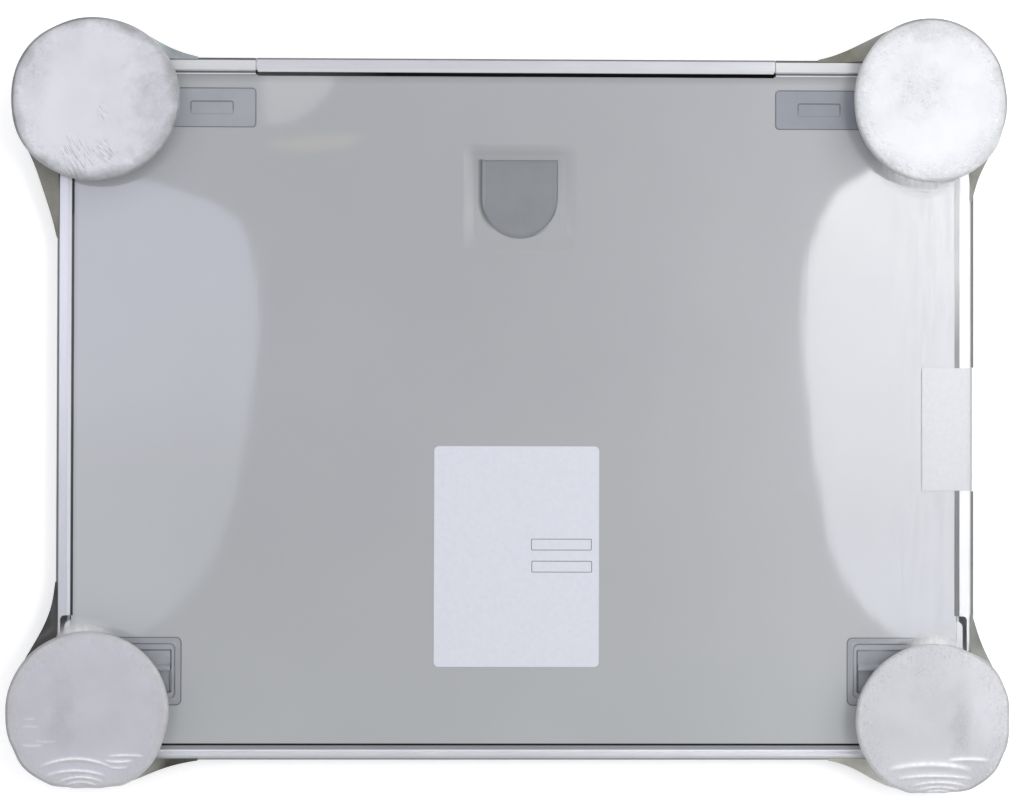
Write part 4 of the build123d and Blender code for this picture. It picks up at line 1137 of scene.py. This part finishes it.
def make_skirt(place, paint):
    """Film gathered on the lid round a disc's foot."""
    first, last, width = skirts[place]
    look = discs[place]
    centre = Vector(look["middle"]) * MM
    points, thin = [], []
    for row in range(skirt_rows):
        share = row / (skirt_rows - 1)
        for column in range(skirt_columns):
            along = column / (skirt_columns - 1)
            angle = math.radians(first + (last - first) * along)
            spread = width * MM * math.sin(math.pi * along)
            thin.append(min(1.0, 1.35 * (1 - share)) ** 1.6 * math.sin(math.pi * along) ** 0.9)
            ripple = 0.35 * MM * noise.noise(Vector((angle * 6, share, centre.x * 50)))
            width_here = skirt_least + skirt_room + spread + ripple
            reach = disc_radius(look, angle) - skirt_room + width_here * share
            level = back_face + film_clearance + skirt_rise * (1 - share)
            points.append((centre.x + math.cos(angle) * reach, centre.y + math.sin(angle) * reach, level))
    faces = grid_faces(skirt_rows, skirt_columns, False)
    skirt = make_piece(f"skirt_{place}", points, faces, paint, f"pad_{place}")
    add_attribute(skirt, "thin", thin)


# Strips of film beside the rails: distances from the middle and levels across them, in millimetres
gap_strip = [(205.9, 15.1), (206.8, 15.05), (207.9, 15.05), (208.8, 15.1)]
hinge_strip = [(155.45, 15.1), (156.4, 15.05), (157.6, 15.05), (158.9, 15.1)]
edge_strip = [(213.9, 13.6), (214.6, 13.2), (215.2, 12.6)]
# Each film: the axis it runs along, its side of the case, its pieces with their first and last place, its
# greys over the gap by the place along it, which are painted shade and dark reflection, its painted lit
# colour on the metal and where that begins, all in millimetres, and its gloss over the gap. The strips carry
# painted shade over the gaps and the rail's outer edge.
rail_films = {
    "film_hinge_gap": {
        "run": "X", "side": 1, "strip": hinge_strip, "body": "lid", "pieces": {"": (-120.8, 120.8)},
        "dark": [(-120, 0.06), (-85, 0.04), (-60, 0.008), (120, 0.004)], "lit": silver, "turn_at": 157.15,
        "coat": 0.0,
    },
    "film_left_gap": {
        "run": "Y", "side": -1, "strip": gap_strip, "body": "lid", "pieces": {"": (-96.5, 112.0)},
        "dark": [(-100, 0.015), (88, 0.05), (92, 0.004), (112, 0.004)], "lit": (0.58, 0.58, 0.62),
        "turn_at": 207.0, "coat": 0.25,
    },
    "film_right_gap": {
        "run": "Y", "side": 1, "strip": gap_strip, "body": "lid", "pieces": {"": (-96.5, 114.0)},
        "dark": [(-60, 0.05), (30, 0.13), (65, 0.40)], "lit": (0.80, 0.80, 0.82),
        "turn_at": 208.1, "coat": 0.6,
    },
    "film_right_edge": {
        "run": "Y", "side": 1, "strip": edge_strip, "body": "base",
        "pieces": {"_latch": (-97.0, -38.0), "_hinge": (20.0, 102.0)},
        "dark": [(-100, 0.14), (100, 0.12)], "lit": (0.14, 0.14, 0.13), "turn_at": 220.0, "coat": 0.8,
    },
}
film_rows = 60


def make_rail_film(name, film):
    """Film over the gap between the lid and a rail, or past the rail's outer edge."""
    paint = rail_film_paint(name, film)
    side, strip = film["side"], film["strip"]
    for end, span in film["pieces"].items():
        low, high = (place * MM for place in span)
        points = []
        for row in range(film_rows):
            place = low + (high - low) * row / (film_rows - 1)
            wander = 0.08 * MM * noise.noise(Vector((0.0, place * 40, side * 3.0)))
            for out, level in strip:
                spot = (side * out * MM + wander, place)
                points.append((*(spot if film["run"] == "Y" else reversed(spot)), level * MM))
        faces = grid_faces(film_rows, len(strip), False)
        make_piece(name + end, points, faces, paint, film["body"])


# ---- Labels, bare ----
label_thickness = 0.12 * MM
label_lift = 0.02 * MM
label_bevel = 0.06 * MM
label_low = Vector((-37.9 * MM, -120.4 * MM))
label_high = Vector((39.2 * MM, -17.4 * MM))
label_radius = 2.2 * MM
box_size = Vector((28.3 * MM, 5.4 * MM))
box_centres = [(21.6 * MM, -63.3 * MM), (21.8 * MM, -73.6 * MM)]
box_line = 0.3 * MM
box_radii = (0.5 * MM, 0.3 * MM)  # outside and inside the line
ink_lift = 0.01 * MM


def rounded_outline(low, high, radius, steps=8):
    """Corners of a rounded rectangle, counter-clockwise."""
    points = []
    corners = ((high.x, high.y), (low.x, high.y), (low.x, low.y), (high.x, low.y))
    for turn, (x, y) in enumerate(corners):
        centre_x = x - radius if x == high.x else x + radius
        centre_y = y - radius if y == high.y else y + radius
        for step in range(steps + 1):
            angle = math.pi / 2 * (turn + step / steps)
            points.append((centre_x + radius * math.cos(angle), centre_y + radius * math.sin(angle)))
    return points


def make_label(paper, ink):
    """Main label: bare paper with two empty outlined boxes to write in."""
    base = back_face + label_lift
    top = base + label_thickness
    outline = rounded_outline(label_low, label_high, label_radius)
    count = len(outline)
    middle = (label_low + label_high) / 2
    points = [(x, y, level) for level in (base, top - label_bevel) for x, y in outline]
    for x, y in outline:
        towards = (middle - Vector((x, y))).normalized() * label_bevel
        points.append((x + towards.x, y + towards.y, top))
    faces = grid_faces(3, count, True)
    faces.append(tuple(range(2 * count, 3 * count)))
    make_piece("label_main", points, faces, paper, "lid", smooth=False)
    for index, centre in enumerate(box_centres):
        low, high = Vector(centre) - box_size / 2, Vector(centre) + box_size / 2
        ring = []
        for radius, thin in zip(box_radii, (0.0, box_line)):
            inset = Vector((thin, thin))
            corners = rounded_outline(low + inset, high - inset, radius, 3)
            ring += [(x, y, top + ink_lift) for x, y in corners]
        faces = grid_faces(2, len(corners), True)
        make_piece(f"label_box_{index + 1}", ring, faces, ink, "lid", smooth=False)


side_label_start = 190.5 * MM
side_label_span = (-37.7 * MM, 19.7 * MM)
side_label_drop = 9.0 * MM  # down the rail's outer face
side_label_bend = 1.3 * MM
bend_steps = 8


def make_side_label(paper):
    """Small bare label, from the panel over the right rail's edge and down its face."""
    level = back_face + film_clearance
    bend = side_label_bend
    outer = side_face + film_clearance
    path = [(side_label_start, level), (outer - bend, level)]
    for step in range(1, bend_steps + 1):
        angle = math.pi / 2 * step / bend_steps
        path.append((outer - bend + bend * math.sin(angle), level - bend + bend * math.cos(angle)))
    path.append((outer, level - side_label_drop))
    points = []
    for thick in (0.0, label_thickness):
        for x, z in path:
            lift = (0.0, thick) if z >= level - bend else (thick, 0.0)
            points += [(x + lift[0], y, z + lift[1]) for y in side_label_span]
    rows = len(path)
    one_side = grid_faces(rows, 2, False)
    other_side = [tuple(index + rows * 2 for index in face) for face in one_side]
    make_piece("label_side", points, one_side + other_side, paper, "lid")


# ---------------------------------------------------------------- everything

make_camera()
make_surroundings()
make_light()
make_floor()
dress_frame()
for place, look in discs.items():
    make_disc(place, look)
for name, web in webs.items():
    make_web(name, *web)
veil = veil_paint()
for place in skirts:
    make_skirt(place, veil)
for name, film in rail_films.items():
    make_rail_film(name, film)
make_label(paper_paint("label_paper", (0.630, 0.648, 0.715), (0.665, 0.680, 0.745)), ink_paint())
make_side_label(paper_paint("side_label_paper", (0.40, 0.405, 0.42), (0.43, 0.435, 0.45)))

bpy.context.scene.view_settings.view_transform = "Standard"
